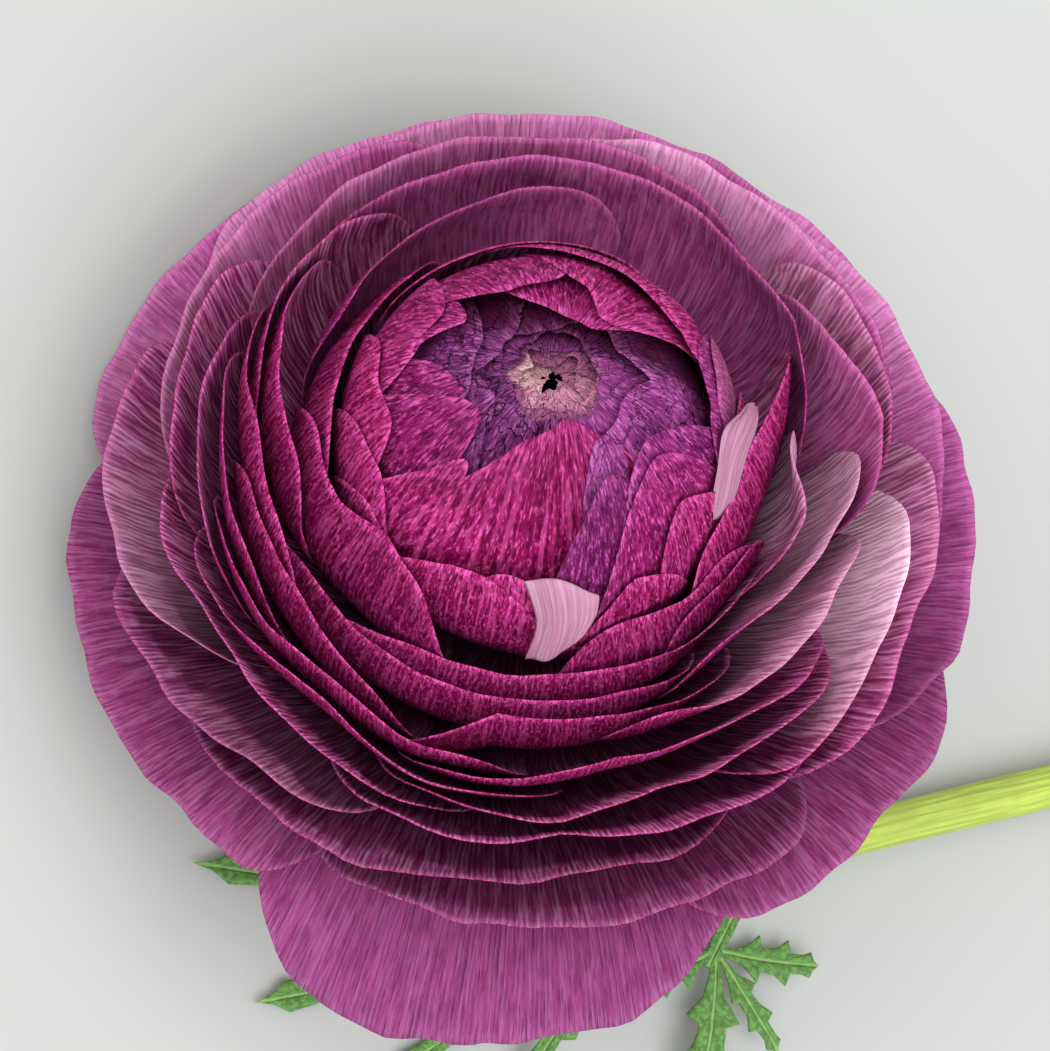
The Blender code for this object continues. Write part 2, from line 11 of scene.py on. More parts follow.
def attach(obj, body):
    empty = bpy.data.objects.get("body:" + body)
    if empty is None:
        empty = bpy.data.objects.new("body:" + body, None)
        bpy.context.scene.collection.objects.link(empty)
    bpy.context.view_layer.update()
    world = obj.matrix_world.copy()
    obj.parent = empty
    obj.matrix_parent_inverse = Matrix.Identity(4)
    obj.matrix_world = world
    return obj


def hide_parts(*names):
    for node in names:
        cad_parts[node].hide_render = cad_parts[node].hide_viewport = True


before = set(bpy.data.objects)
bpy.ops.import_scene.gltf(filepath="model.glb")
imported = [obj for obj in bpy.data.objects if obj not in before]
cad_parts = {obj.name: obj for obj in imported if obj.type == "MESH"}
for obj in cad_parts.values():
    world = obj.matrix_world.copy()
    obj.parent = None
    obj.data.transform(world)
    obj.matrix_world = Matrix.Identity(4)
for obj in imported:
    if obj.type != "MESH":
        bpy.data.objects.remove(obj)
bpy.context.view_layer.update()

bpy.ops.object.select_all(action="DESELECT")

# Eye. The youngest petals: thin crumpled tissue, pale pink to violet, furled round the dark slit in
# the middle. They grow from the receptacle as all petals do, at the foot of the bloom's leaning
# axis, and everything in the bloom is set out in millimetres round that axis.
MM = 0.001
BASE_POINT = Vector((-18.5, 10.5, 18.0))
BLOOM_AXIS = Vector((-0.246, 0.542, 0.803)).normalized()
BLOOM_RIGHT = Vector((0.774, -0.388, 0.500))
bloom_right = (BLOOM_RIGHT - BLOOM_RIGHT.project(BLOOM_AXIS)).normalized()
bloom_turn = Matrix((bloom_right, BLOOM_AXIS.cross(bloom_right), BLOOM_AXIS)).transposed()

# The ball that the middle petals close into. Below its rim a petal sinks inside the ball.
BALL_RADIUS = 21.5
BALL_HEIGHT = 22.5
BALL_ROOT_ANGLE = -70.0
BALL_SINK_PER_DEGREE = 0.05
BALL_SINK_POWER = 1.2
BALL_CALM_RIM = 22
# A ball petal gets painted shade towards its root, fading out between these shares of its section.
BALL_SHADE_FADES = (0.20, 0.60)
RIM_LIFT = 0.7
HOLLOW_DIP = 2.6
HOLLOW_RADIUS = 6.5
HOLLOW_TILT = 0.7
HOLLOW_SHADE = (2.5, 5.5)

# One petal: a sheet that widens from its root, with round shoulders and a gently waved rim. A wave
# is given by its length and share, a crumple by its turns across and along and its share.
PETAL_LENGTH = 40
PETAL_THICK = 0.34
RIM_THICK_SHARE = 0.25
THIN_LEVELS = 6
THIN_WIDTH = 3
# Width of the lighter rim, which is partly the petal's paler edge and partly painted highlight.
RIM_TINT_AND_HIGHLIGHT_WIDTH = 0.9
PETAL_ROWS = 30
LEAST_COLUMNS = 18
COLUMNS_PER_MM = 0.75
LEAST_WIDTH_RADIUS = 9
ROOT_WIDTH = 0.6
FULL_WIDTH_AT = 0.55
SHOULDER_DROP = 0.30
SHOULDER_POWER = 5
SHOULDER_REACH = 1.18
RIM_STOP = 0.012
SMALL_RIM = 5
WAVE_HEIGHT = 0.16
WAVE_GROWTH = 0.006
RIM_WAVES = ((5, 0.5), (2.7, 0.35), (1.3, 0.15))
END_WAVES = ((2.2, 0.008), (1, 0.004))
CRUMPLE_WAVES = ((2.1, 9, 1.0), (3.4, -14, 1.0), (1.2, 21, 0.6))
CRUMPLE_INWARD = 0.5
MAP_SHIFT = 200
AZIMUTHS = np.arange(0, 360, 3)
NEAR_STEPS = range(-2, 3)

# Rims from the slit outwards: azimuth of the middle, half width in degrees, rim radius, skew and
# bow of the rim, then how violet and how pale the petal is.
EYE_ROWS = (
    (165, 90, 0.32, 0, 0.25, 0, 0.5),
    (342, 90, 0.28, 0, 0.25, 0, 0),
    (205, 42, 1.2, 0.2, 0.5, 0, 0.9),
    (305, 42, 1.4, 0.2, 0.5, 0, 0.2),
    (95, 66, 1.0, 0.2, 0.9, 0.5, 0),
    (15, 40, 2.1, 0.2, 0.5, 0.2, 0.1),
    (255, 40, 2.0, 0.3, 0.4, 0.1, 0.15),
    (112, 58, 1.6, 0, 0.8, 0.6, 0),
    (170, 34, 2.6, 0.2, 0.3, 0.1, 0.7),
    (215, 46, 3.0, 0, 0.4, 0.3, 0.2),
    (70, 58, 2.2, 0.2, 0.6, 0.7, 0),
    (280, 44, 2.8, 0.2, 0.4, 0.3, 0.1),
    (335, 44, 3.5, 0, 0.3, 0.3, 0),
    (245, 50, 3.5, 0.2, 0.3, 0.7, 0),
    (140, 52, 2.9, 0, 0.3, 1.0, 0),
    (20, 50, 4.2, 0, 0.3, 0.8, 0),
    (290, 50, 4.2, 0.1, 0.2, 0.8, 0),
)
EYE_LIMITS = (0.2, 4.6)
EYE_CLEAR = 0.1
EYE_START = 0.80
EYE_CRUMPLE = 0.06
EYE_DEPTH = 1.7
EYE_DEPTH_STEP = 0.05
EYE_SEED = 101

# Colours of petal tissue are given as deep, body and light.
EYE_PINK = ((0.120, 0.013, 0.055), (0.600, 0.170, 0.320), (0.880, 0.470, 0.600))
EYE_VIOLET = ((0.028, 0.003, 0.024), (0.130, 0.020, 0.095), (0.360, 0.120, 0.280))
CREAM = (0.740, 0.460, 0.440)
# Painted shade: the near black that the unlit parts of a petal are darkened to, and the dark painted
# into creases.
PAINTED_SHADE_COLOUR = (0.030, 0.001, 0.012)
CREASE_SHADE_COLOUR = (0.020, 0.001, 0.015)
GRAIN_RISE = 0.00016
CREASE_SINK = 0.0006


def to_world(points):
    """Bloom millimetres to world metres."""
    return (np.asarray(points) @ np.array(bloom_turn).T + np.array(BASE_POINT)) * MM


def round_axis(theta, radius, height):
    """Points at an angle round the bloom's axis, a radius from it and a height along it."""
    return np.stack([radius * np.cos(theta), radius * np.sin(theta), height], axis=-1)


def ramp(value, start, end):
    """A share that climbs from 0 at start to 1 at end."""
    return np.clip((value - start) / (end - start), 0, 1)


def finish_piece(piece, slot, *nodes):
    """Ties a finished piece to the model: its body and the solids it stands for, which are hidden. The
    slot that would name its finish is not used.
    """
    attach(piece, "root")
    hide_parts(*nodes)


def flat_sheet(name, columns, rows):
    """A flat grid to be shaped, with its places across (-1 to 1) and along (0 to 1)."""
    bpy.ops.mesh.primitive_grid_add(x_subdivisions=columns, y_subdivisions=rows, size=2)
    sheet = bpy.context.object
    sheet.name = name
    flat = np.zeros(3 * len(sheet.data.vertices))
    sheet.data.vertices.foreach_get("co", flat)
    flat = flat.reshape(-1, 3)
    return sheet, flat[:, 0], (flat[:, 1] + 1) / 2


def set_map(mesh, across_mm, along_mm):
    """The sheet's own map, in millimetres across and along it."""
    corner = np.zeros(len(mesh.loops), int)
    mesh.loops.foreach_get("vertex_index", corner)
    mapped = np.stack([across_mm[corner], along_mm[corner]], axis=-1)
    mesh.uv_layers[0].uv.foreach_set("vector", mapped.ravel())


def shape_sheet(sheet, points, across_mm, along_mm, thin, thickness, looks):
    """Sets the sheet's points and map, finishes its outer and inner face, and gives it thickness,
    from a thin edge where thin is 0 to all of it where thin is 1."""
    mesh = sheet.data
    mesh.vertices.foreach_set("co", to_world(points).ravel())
    set_map(mesh, across_mm, along_mm)
    for finish in looks:
        mesh.materials.append(finish)
    mesh.update()
    thin_edge = sheet.vertex_groups.new(name="thickness")
    for level in range(THIN_LEVELS):
        picked = np.flatnonzero((thin * (THIN_LEVELS - 1)).round() == level)
        thin_edge.add(picked.tolist(), level / (THIN_LEVELS - 1), "REPLACE")
    solidify = sheet.modifiers.new("thickness", "SOLIDIFY")
    solidify.vertex_group = thin_edge.name
    solidify.thickness_vertex_group = RIM_THICK_SHARE
    solidify.thickness = thickness * MM
    solidify.offset = 0
    solidify.material_offset = 1
    solidify.material_offset_rim = 0
    bpy.ops.object.modifier_apply(modifier=solidify.name)
    bpy.ops.object.shade_smooth()


def set_tone(sheet, violet, pale, painted_light, edge):
    """What a petal's colours are read from at each point: how violet, how pale, how much painted light
    rather than painted shade it gets, and how near its edge, where its rim is partly paler and partly
    painted highlight."""
    tone = np.stack(np.broadcast_arrays(violet, pale, painted_light, edge), axis=-1)
    layer = sheet.data.attributes.new("tone", "FLOAT_COLOR", "POINT")
    layer.data.foreach_set("color", tone.ravel())


def nested_rows(rows, limits, clear):
    """Each row with its rim's radius over the azimuths, pushed out where petals inside it are in
    the way, and with the radius of the rim that stands inside it there."""
    taken = np.zeros(len(AZIMUTHS))
    nested = []
    for row in rows:
        azimuth, half_width, rim, skew, bow = row[:5]
        q = ((AZIMUTHS - azimuth + 180) % 360 - 180) / half_width
        covered = np.abs(q) <= SHOULDER_REACH
        q = np.clip(q, -SHOULDER_REACH, SHOULDER_REACH)
        wanted = np.clip(rim + skew * q + bow * q**2, *limits)
        push = np.where(covered, np.maximum(taken + clear - wanted, 0), 0)
        widest = np.max([np.roll(push, k) for k in NEAR_STEPS], axis=0)
        push = np.mean([np.roll(widest, k) for k in NEAR_STEPS], axis=0)
        rims = np.minimum(wanted + push, limits[1])
        nested.append((row, rims, np.maximum(taken, limits[0])))
        taken = np.where(covered, np.maximum(taken, rims), taken)
    return nested


def ball_section(rim, s):
    """Radius and height along a petal of the ball: it ends on the ball and dips inside it below."""
    top = np.degrees(np.arccos(np.clip(rim / BALL_RADIUS, 0, 1)))
    angle = np.radians(BALL_ROOT_ANGLE + s * (top - BALL_ROOT_ANGLE))
    sink = BALL_SINK_PER_DEGREE * (top - BALL_ROOT_ANGLE) * (1 - s) ** BALL_SINK_POWER
    lift = RIM_LIFT * s**8 * (1 - (rim / BALL_RADIUS) ** 4)
    reach = BALL_RADIUS - sink + lift - HOLLOW_DIP * np.exp(-((rim / HOLLOW_RADIUS) ** 2)) * s
    return reach * np.cos(angle), BALL_HEIGHT + reach * np.sin(angle)


class Petal:
    """One petal of a row as a flat sheet, with what its shape and its colours are read from."""

    def __init__(self, name, row, rims, seed, start=0.0, wave_share=1.0):
        """Start is the share of the way from the receptacle at which the sheet begins."""
        azimuth, half_width, self.rim = row[:3]
        self.violet, self.pale = row[-2:]
        self.start = start
        self.seed = seed
        self.length = PETAL_LENGTH * (1 - start)
        self.width = math.radians(half_width) * max(self.rim, LEAST_WIDTH_RADIUS)
        columns = round(LEAST_COLUMNS + COLUMNS_PER_MM * self.width)
        self.grid = (PETAL_ROWS + 1, columns + 1)
        self.sheet, q, self.v = flat_sheet(name, columns, PETAL_ROWS)
        self.q = q * SHOULDER_REACH
        narrow = ROOT_WIDTH + (1 - ROOT_WIDTH) * np.minimum(self.v / FULL_WIDTH_AT, 1)
        self.azimuth = azimuth + half_width * self.q * narrow
        self.theta = np.radians(self.azimuth)
        self.across = self.q * self.width
        self.phases = np.random.default_rng(seed).uniform(0, 2 * math.pi, 4)
        self.rim_radius = self.waved_rim(rims, wave_share)
        self.s = self.shouldered()

    def waved_rim(self, rims, share):
        """The rim's radius at each point's azimuth, with waves that grow towards the rim."""
        wave = sum(
            part * np.sin(self.across / length + phase)
            for (length, part), phase in zip(RIM_WAVES, self.phases)
        )
        crest = (WAVE_HEIGHT + WAVE_GROWTH * self.rim) * min(self.rim / SMALL_RIM, 1) * share
        return np.interp(self.azimuth, AZIMUTHS, rims, period=360) + crest * wave * self.v**3

    def shouldered(self):
        """The share of the section that each point has reached, less at the round shoulders."""
        (long_wave, long_part), (short_wave, short_part) = END_WAVES
        wave = long_part * np.sin(self.across / long_wave + self.phases[3])
        wave += short_part * np.sin(self.across / short_wave + self.phases[0])
        corner = np.abs(self.q / SHOULDER_REACH) ** SHOULDER_POWER
        s = self.start + (1 - self.start) * self.v
        s = s * (1 - SHOULDER_DROP * (1 - self.start) * self.v * corner)
        return np.clip(s * (1 + wave * self.v**3 - RIM_STOP * self.v), 0, 1)

    def finish(self, points, pale, painted_light, looks):
        """Colours and shapes the sheet, which thins out to its edges."""
        to_side = (1 - np.abs(self.q) / SHOULDER_REACH) * self.width
        from_edge = np.minimum((1 - self.v) * self.length, to_side)
        edge = np.exp(-from_edge / RIM_TINT_AND_HIGHLIGHT_WIDTH)
        set_tone(self.sheet, self.violet, pale, np.clip(painted_light, 0, 1), edge)
        shape_sheet(
            self.sheet, points, self.across + MAP_SHIFT * self.seed, self.length * self.v,
            ramp(from_edge, 0, THIN_WIDTH), PETAL_THICK, looks,
        )
        return self.sheet


def hollow_shade(petal, radius, height):
    """The far wall of the hollow in the middle lies in the shade of the petals over it."""
    return ramp(radius * np.sin(petal.theta), *HOLLOW_SHADE)


def ball_petal(name, row, rims, seed, looks, shade, start=0.0, crumple=0.0, depth=0.0):
    """A petal that closes over the middle. Those of the hollow begin near their rim, are crumpled,
    and lie deeper than the ball, most of all at the far wall."""
    calm = math.sqrt(1 - (row[2] / BALL_CALM_RIM) ** 2)
    petal = Petal(name, row, rims, seed, start, calm)
    radius, height = ball_section(petal.rim_radius, petal.s)
    sunk = 1 - depth * (1 + HOLLOW_TILT * np.sin(petal.theta)) / BALL_RADIUS
    fold = sum(
        part * np.sin(petal.across * turns + climb * petal.v + phase)
        for (turns, climb, part), phase in zip(CRUMPLE_WAVES, petal.phases[1:])
    )
    height = BALL_HEIGHT + (height - BALL_HEIGHT) * sunk + crumple * fold * petal.v
    radius = radius * sunk + CRUMPLE_INWARD * crumple * np.roll(fold, 1) * petal.v
    # Painted shade: down the petal, and at the crown or at the hollow's far wall.
    painted_light = ramp(petal.s, *BALL_SHADE_FADES) - shade(petal, radius, height)
    points = round_axis(petal.theta, radius, height)
    return petal.finish(points, petal.pale, painted_light, looks)


class Shader:
    """A Principled material whose nodes are added one after the other."""

    def __init__(self, name, **values):
        self.material = bpy.data.materials.new(name)
        self.material.use_nodes = True
        self.tree = self.material.node_tree
        self.principled = self.tree.nodes["Principled BSDF"]
        for socket, value in values.items():
            self.principled.inputs[socket.replace("_", " ")].default_value = value

    def node(self, kind, **settings):
        made = self.tree.nodes.new(kind)
        for key, value in settings.items():
            setattr(made, key, value)
        return made

    def link(self, source, target):
        self.tree.links.new(source, target)

    def put(self, socket, value):
        """A socket takes a number, a colour or another node's output."""
        if isinstance(value, bpy.types.NodeSocket):
            self.link(value, socket)
        elif isinstance(value, tuple):
            socket.default_value = (*value, 1)
        else:
            socket.default_value = value

    def attribute(self, name):
        return self.node("ShaderNodeAttribute", attribute_name=name).outputs

    def across_and_along(self):
        """The two directions of the sheet's own map, in millimetres."""
        split = self.node("ShaderNodeSeparateXYZ")
        self.link(self.node("ShaderNodeUVMap", uv_map="UVMap").outputs[0], split.inputs[0])
        return split.outputs[:2]

    def math(self, operation, a, b=0.0):
        made = self.node("ShaderNodeMath", operation=operation)
        self.put(made.inputs[0], a)
        self.put(made.inputs[1], b)
        return made.outputs[0]

    def times(self, a, b):
        return self.math("MULTIPLY", a, b)

    def plus(self, a, b):
        return self.math("ADD", a, b)

    def spread(self, value, low, high, to_low=0.0, to_high=1.0):
        """Remaps low..high to to_low..to_high, softly and clamped."""
        made = self.node("ShaderNodeMapRange", interpolation_type="SMOOTHSTEP")
        for socket, number in zip(made.inputs[:5], (value, low, high, to_low, to_high)):
            self.put(socket, number)
        return made.outputs[0]

    def mix(self, share, a, b):
        made = self.node("ShaderNodeMix", data_type="RGBA")
        self.put(made.inputs[0], share)
        self.put(made.inputs[6], a)
        self.put(made.inputs[7], b)
        return made.outputs[2]

    def place(self, x, y, z=0.0):
        made = self.node("ShaderNodeCombineXYZ")
        for socket, value in zip(made.inputs, (x, y, z)):
            self.put(socket, value)
        return made.outputs[0]

    def noise(self, vector, scale, detail, roughness=0.5):
        made = self.node("ShaderNodeTexNoise")
        self.link(vector, made.inputs["Vector"])
        made.inputs["Scale"].default_value = scale
        made.inputs["Detail"].default_value = detail
        made.inputs["Roughness"].default_value = roughness
        return made.outputs[0]

    def bump(self, height, distance, onto=None):
        made = self.node("ShaderNodeBump")
        made.inputs["Distance"].default_value = distance
        self.link(height, made.inputs["Height"])
        if onto is not None:
            self.link(onto, made.inputs["Normal"])
        return made.outputs[0]

    def finish(self, colour, normal):
        self.link(colour, self.principled.inputs["Base Color"])
        self.link(normal, self.principled.inputs["Normal"])
        return self.material


def petal_looks(
    name, colours, violet_colours, pale_colour, streak, lit, grainy, veined, shade, rim_lit, rise,
    creases=None,
):
    """Petal tissue, with grain and veins from root to rim, which streak draws out. The shares say how
    far light grain, dark grain, veins, painted shade and the lighter rim show, which is partly the
    petal's paler edge and partly painted highlight. Rise is the height of the veins, and creases are the
    shares of a plain and a violet petal's creases, which get painted shade, and how close they lie."""
    made = Shader(name, Roughness=0.72, Specular_IOR_Level=0.06)
    across, along = made.across_and_along()
    tone = made.attribute("tone")
    channels = made.node("ShaderNodeSeparateColor")
    made.link(tone["Color"], channels.inputs[0])
    violet, pale, painted_light = channels.outputs[:3]
    edge = tone["Alpha"]

    def stretched(across_scale, along_scale, detail, roughness, shift=0.0):
        place = made.place(
            made.times(across, across_scale), made.times(along, along_scale), shift
        )
        return made.noise(place, 1.0, detail, roughness)

    grain = stretched(3.9, 2.4 / streak, 3.0, 0.7)
    fine = stretched(6.5, 5.5 / streak, 2.0, 0.6)
    blotch = stretched(0.28, 0.15, 2.0, 0.6)
    cloud = stretched(0.55, 0.28, 3.0, 0.6, 7.0)
    strand = stretched(1.9, 0.10, 3.0, 0.5)
    mixed = made.plus(made.times(grain, 0.65), made.times(fine, 0.35))

    # The veins: a wave across the petal, bent by the blotches and strands that run along it.
    phase = made.plus(made.times(across, 11.0), made.times(blotch, 12.0))
    wave = made.math("SINE", made.plus(phase, made.times(strand, 5.0)))
    ribs = made.plus(made.times(wave, 0.07), strand)

    # The patterns lie round 0.5, and each colour comes in as its pattern runs from one value to
    # the next.
    deep, body, light = (
        made.mix(violet, plain, crushed) for plain, crushed in zip(colours, violet_colours)
    )
    shown = made.mix(made.spread(cloud, 0.42, 0.62, 0.0, 0.40), body, deep)
    shown = made.mix(made.spread(mixed, 0.51, 0.64, 0.0, lit), shown, light)
    shown = made.mix(made.spread(mixed, 0.50, 0.39, 0.0, grainy), shown, deep)
    plain_share = made.spread(violet, 0.05, 0.4, 1.0, 0.3)
    sunk = made.times(made.spread(ribs, 0.52, 0.36, 0.0, veined), plain_share)
    raised = made.times(made.spread(ribs, 0.50, 0.66, 0.0, veined), plain_share)
    shown = made.mix(sunk, made.mix(raised, shown, light), deep)
    faint = made.mix(made.spread(ribs, 0.58, 0.38, 0.0, 0.60 * veined), pale_colour, body)
    shown = made.mix(pale, shown, faint)
    # Painted shade: where the tone gives little painted light, the colour darkens towards near black.
    shown = made.mix(made.spread(painted_light, 0.90, 0.10, 0.0, shade), shown, PAINTED_SHADE_COLOUR)
    # The lighter rim: partly the petal's paler edge, partly painted highlight.
    rim_tint_and_highlight = made.times(made.spread(mixed, 0.42, 0.60, 0.1, rim_lit), edge)
    rim_tint_and_highlight = made.times(rim_tint_and_highlight, made.spread(cloud, 0.40, 0.60, 0.2, 1.0))
    shown = made.mix(rim_tint_and_highlight, shown, light)
    normal = made.bump(ribs, rise)
    if creases:
        plain_creases, violet_creases, size = creases
        cells = made.node("ShaderNodeTexVoronoi", feature="DISTANCE_TO_EDGE")
        bent = made.place(
            made.plus(made.times(across, 0.16), made.times(cloud, 2.0)),
            made.plus(made.times(along, 0.42), made.times(blotch, 2.0)),
        )
        made.link(bent, cells.inputs["Vector"])
        cells.inputs["Scale"].default_value = size
        crease_and_shade = made.spread(cells.outputs["Distance"], 0.0, 0.035, 1.0, 0.0)
        share = made.spread(violet, 0.30, 1.0, plain_creases, violet_creases)
        crease_and_shade = made.times(crease_and_shade, share)
        # Painted shade darkens the creases, which the bump below also sinks.
        shown = made.mix(crease_and_shade, shown, CREASE_SHADE_COLOUR)
        normal = made.bump(crease_and_shade, -CREASE_SINK, normal)
    return made.finish(shown, made.bump(mixed, GRAIN_RISE, normal))


eye_looks = [petal_looks(
    "eye_petal", EYE_PINK, EYE_VIOLET, CREAM, streak=2.0, lit=0.45, grainy=0.55, veined=0.25,
    shade=0.90, rim_lit=0.5, rise=0.0003, creases=(0.90, 0.90, 2.6),
)] * 2
for index, (row, rims, _) in enumerate(nested_rows(EYE_ROWS, EYE_LIMITS, EYE_CLEAR)):
    petal = ball_petal(
        f"eye_petal_{index:02d}", row, rims, index + EYE_SEED, eye_looks, hollow_shade,
        EYE_START, EYE_CRUMPLE, EYE_DEPTH - EYE_DEPTH_STEP * index,
    )
    finish_piece(petal, "eye_petal", "eye")

# Folded petals. A ring of violet petals of the same thin tissue, crushed against each other round
# the eye. They grow outside it and bend in over it, and they are less crumpled.
FOLDED_ROWS = (
    (98, 58, 3.1, 0.1, 0.4, 1.0, 0),
    (200, 48, 4.0, 0.3, 0.3, 1.0, 0),
    (25, 52, 4.5, -0.2, 0.3, 0.3, 0),
    (268, 45, 4.7, 0.2, 0.3, 0.7, 0),
    (140, 45, 4.0, 0, 0.4, 1.0, 0),
    (330, 45, 5.0, 0, 0.3, 0.4, 0),
    (75, 46, 4.4, 0.2, 0.3, 1.0, 0),
    (185, 40, 4.9, 0, 0.4, 1.0, 0),
    (232, 40, 5.6, -0.2, 0.4, 0.8, 0),
    (115, 46, 5.2, 0, 0.3, 1.0, 0),
    (158, 40, 5.8, 0, 0.5, 0.9, 0),
    (338, 36, 7.2, 0.2, 0.4, 0.2, 0),
    (50, 38, 6.9, 0.4, 0.3, 0.5, 0),
    (200, 38, 6.4, 0.3, 0.3, 0.8, 0),
    (180, 36, 7.8, 0.3, 0.3, 0.7, 0),
)
FOLDED_LIMITS = (2.6, 9.2)
FOLDED_CLEAR = 0.1
FOLDED_START = 0.60
FOLDED_CRUMPLE = 0.08
FOLDED_DEPTH = 1.0
FOLDED_DEPTH_STEP = 0.03
FOLDED_SEED = 131
FOLDED_MAUVE = ((0.060, 0.005, 0.050), (0.260, 0.034, 0.190), (0.560, 0.160, 0.460))
FOLDED_VIOLET = ((0.018, 0.002, 0.017), (0.080, 0.009, 0.068), (0.320, 0.080, 0.270))
PALE_PINK = (1.000, 0.740, 0.870)

folded_looks = [petal_looks(
    "folded_petal", FOLDED_MAUVE, FOLDED_VIOLET, PALE_PINK, streak=3.5, lit=0.85, grainy=0.80,
    veined=0.40, shade=0.90, rim_lit=0.8, rise=0.0002, creases=(0.35, 0.95, 1.3),
)] * 2
for index, (row, rims, _) in enumerate(nested_rows(FOLDED_ROWS, FOLDED_LIMITS, FOLDED_CLEAR)):
    petal = ball_petal(
        f"folded_petal_{index:02d}", row, rims, index + FOLDED_SEED, folded_looks, hollow_shade,
        FOLDED_START, FOLDED_CRUMPLE, FOLDED_DEPTH - FOLDED_DEPTH_STEP * index,
    )
    finish_piece(petal, "inner_petal", "inner_petals")

# Ball petals. Magenta petals of firmer, satin tissue that close over the folded ones into a ball.
# They grow from the receptacle in nested rows and overlap like tiles, so only their rims show.
INNER_ROWS = (
    (197, 20, 9.0, -2.0, 1.0, 0.5, 0),
    (166, 22, 9.5, 0.5, 1.0, 0.4, 0),
    (87, 47, 5.5, 0.5, 2.0, 0.25, 0),
    (122, 35, 9.5, 1.0, 1.0, 0.3, 0),
    (69, 36, 7.5, 0.5, 2.0, 0.15, 0),
    (166, 27, 12.0, -0.5, 2.0, 0.2, 0),
    (212, 24, 9.0, -3.0, 2.5, 0.4, 0),
    (189, 27, 15.0, -1.0, 2.5, 0, 0),
    (229, 15, 12.9, -2.5, 0, 0.1, 0),
    (281, 50, 5.9, -2.1, 3.4, 0, 0),
    (300, 20, 12.5, -3.5, 2.0, 0.75, 0),
    (335, 30, 11.0, 0.5, 3.0, 0.75, 0),
    (324, 28, 13.0, -2.5, 3.5, 0.4, 0),
    (74, 46, 14.0, 1.5, 0.5, 0.05, 0),
    (41, 22, 14.0, 0.5, 0.5, 0.1, 0),
    (16, 27, 13.5, 0.5, 3.0, 0.7, 0),
    (22, 22, 16.5, 0.5, 1.0, 0.5, 0.05),
    (110, 40, 17.0, 0, 1.0, 0, 0),
    (10, 20, 18.5, 1.5, 1.0, 0.3, 0),
    (336, 21, 16.0, -1.0, 1.5, 0.1, 0),
    (209, 25, 18.0, 0, 1.5, 0, 0),
    (290, 34, 18.0, 0.5, 0.5, 0, 0),
    (250, 46, 19.0, -0.3, 0.4, 0, 0),
)
INNER_LIMITS = (3.0, 21.2)
INNER_CLEAR = 0.25
INNER_SEED = 1
OUTSIDE = ((0.045, 0.0004, 0.012), (0.235, 0.0028, 0.074), (0.740, 0.095, 0.390))
OUTSIDE_VIOLET = ((0.032, 0.0015, 0.027), (0.120, 0.008, 0.088), (0.420, 0.090, 0.340))
INSIDE = ((0.150, 0.009, 0.065), (0.460, 0.070, 0.260), (0.640, 0.270, 0.490))
INSIDE_VIOLET = ((0.220, 0.030, 0.150), (0.600, 0.115, 0.440), (0.700, 0.270, 0.600))

# The crown of the ball, up and to the front of the axis, gets painted shade, so it shows the deepest
# magenta.
CROWN_UP = 0.90
CROWN_FRONT = 0.43
CROWN_SHADE = (0.75, 0.95)


def crown_shade(petal, radius, height):
    """How much painted shade each point gets, by how near it lies to the crown."""
    upward = CROWN_UP * (height - BALL_HEIGHT) - CROWN_FRONT * radius * np.sin(petal.theta)
    return ramp(upward / BALL_RADIUS, *CROWN_SHADE)


satin_looks = [
    petal_looks(
        "petal_outside", OUTSIDE, OUTSIDE_VIOLET, PALE_PINK, streak=3.6, lit=0.85, grainy=0.90,
        veined=0.30, shade=0.30, rim_lit=1.0, rise=0.0002,
    ),
    petal_looks(
        "petal_inside", INSIDE, INSIDE_VIOLET, PALE_PINK, streak=12.0, lit=0.40, grainy=0.50,
        veined=0.85, shade=0.80, rim_lit=0.4, rise=0.0005,
    ),
]
for index, (row, rims, _) in enumerate(nested_rows(INNER_ROWS, INNER_LIMITS, INNER_CLEAR)):
    petal = ball_petal(
        f"ball_petal_{index:02d}", row, rims, index + INNER_SEED, satin_looks, crown_shade
    )
    finish_piece(petal, "inner_petal", "inner_petals")

# Turned-out pieces. Two small pale petals, soft and plain inside, that bend out between the petals
# of the ball at its front and right, and lie over their neighbours.
FLAP_COLUMNS = 24
FLAP_ROWS = 40
FLAP_LENGTH = 12
FLAP_HALF_WIDTH = 3.5
FLAP_SIDE_EDGE = 3
FLAP_EDGE_WIDTH = 0.4
FLAP_THIN_WIDTH = 1.5
FLAP_WAVE_ACROSS = (6, 0.15)
FLAP_WAVE_ALONG = (9, 0.1)
FLAP_FADE = 0.5
FLAP_SEED = 161

# Name, how violet, how pale, and rows of points (azimuth, elevation, reach) round the ball's
# middle, from the root of the piece to its tip.
FLAPS = (
    ("front_fold", 0.0, 1.0, (
        ((279, 12, 20.6), (286, 12, 20.7), (293, 9, 20.8)),
        ((274, 30, 21.8), (284, 32, 22.4), (296, 25, 22.0)),
        ((279, 19, 22.7), (286, 21, 23.2), (295, 20.5, 22.8)),
        ((277.5, 5, 23.2), (284, 8, 23.7), (292, 16, 23.2)),
    )),
    ("right_tongue", 0.0, 0.8, (
        ((-23, 25, 21.0), (-19, 22, 21.3), (-15, 19, 21.5)),
        ((-11, 34, 22.0), (-6, 31, 22.4), (-1, 25, 22.6)),
        ((1, 39, 22.6), (6, 32, 23.0), (11, 23, 23.0)),
        ((13, 31, 23.0), (16, 27, 23.2), (18, 20, 23.1)),
    )),
)
FLAP_PINK = ((0.200, 0.030, 0.110), (0.330, 0.075, 0.190), (0.460, 0.270, 0.370))
FLAP_PALE = (0.44, 0.25, 0.34)


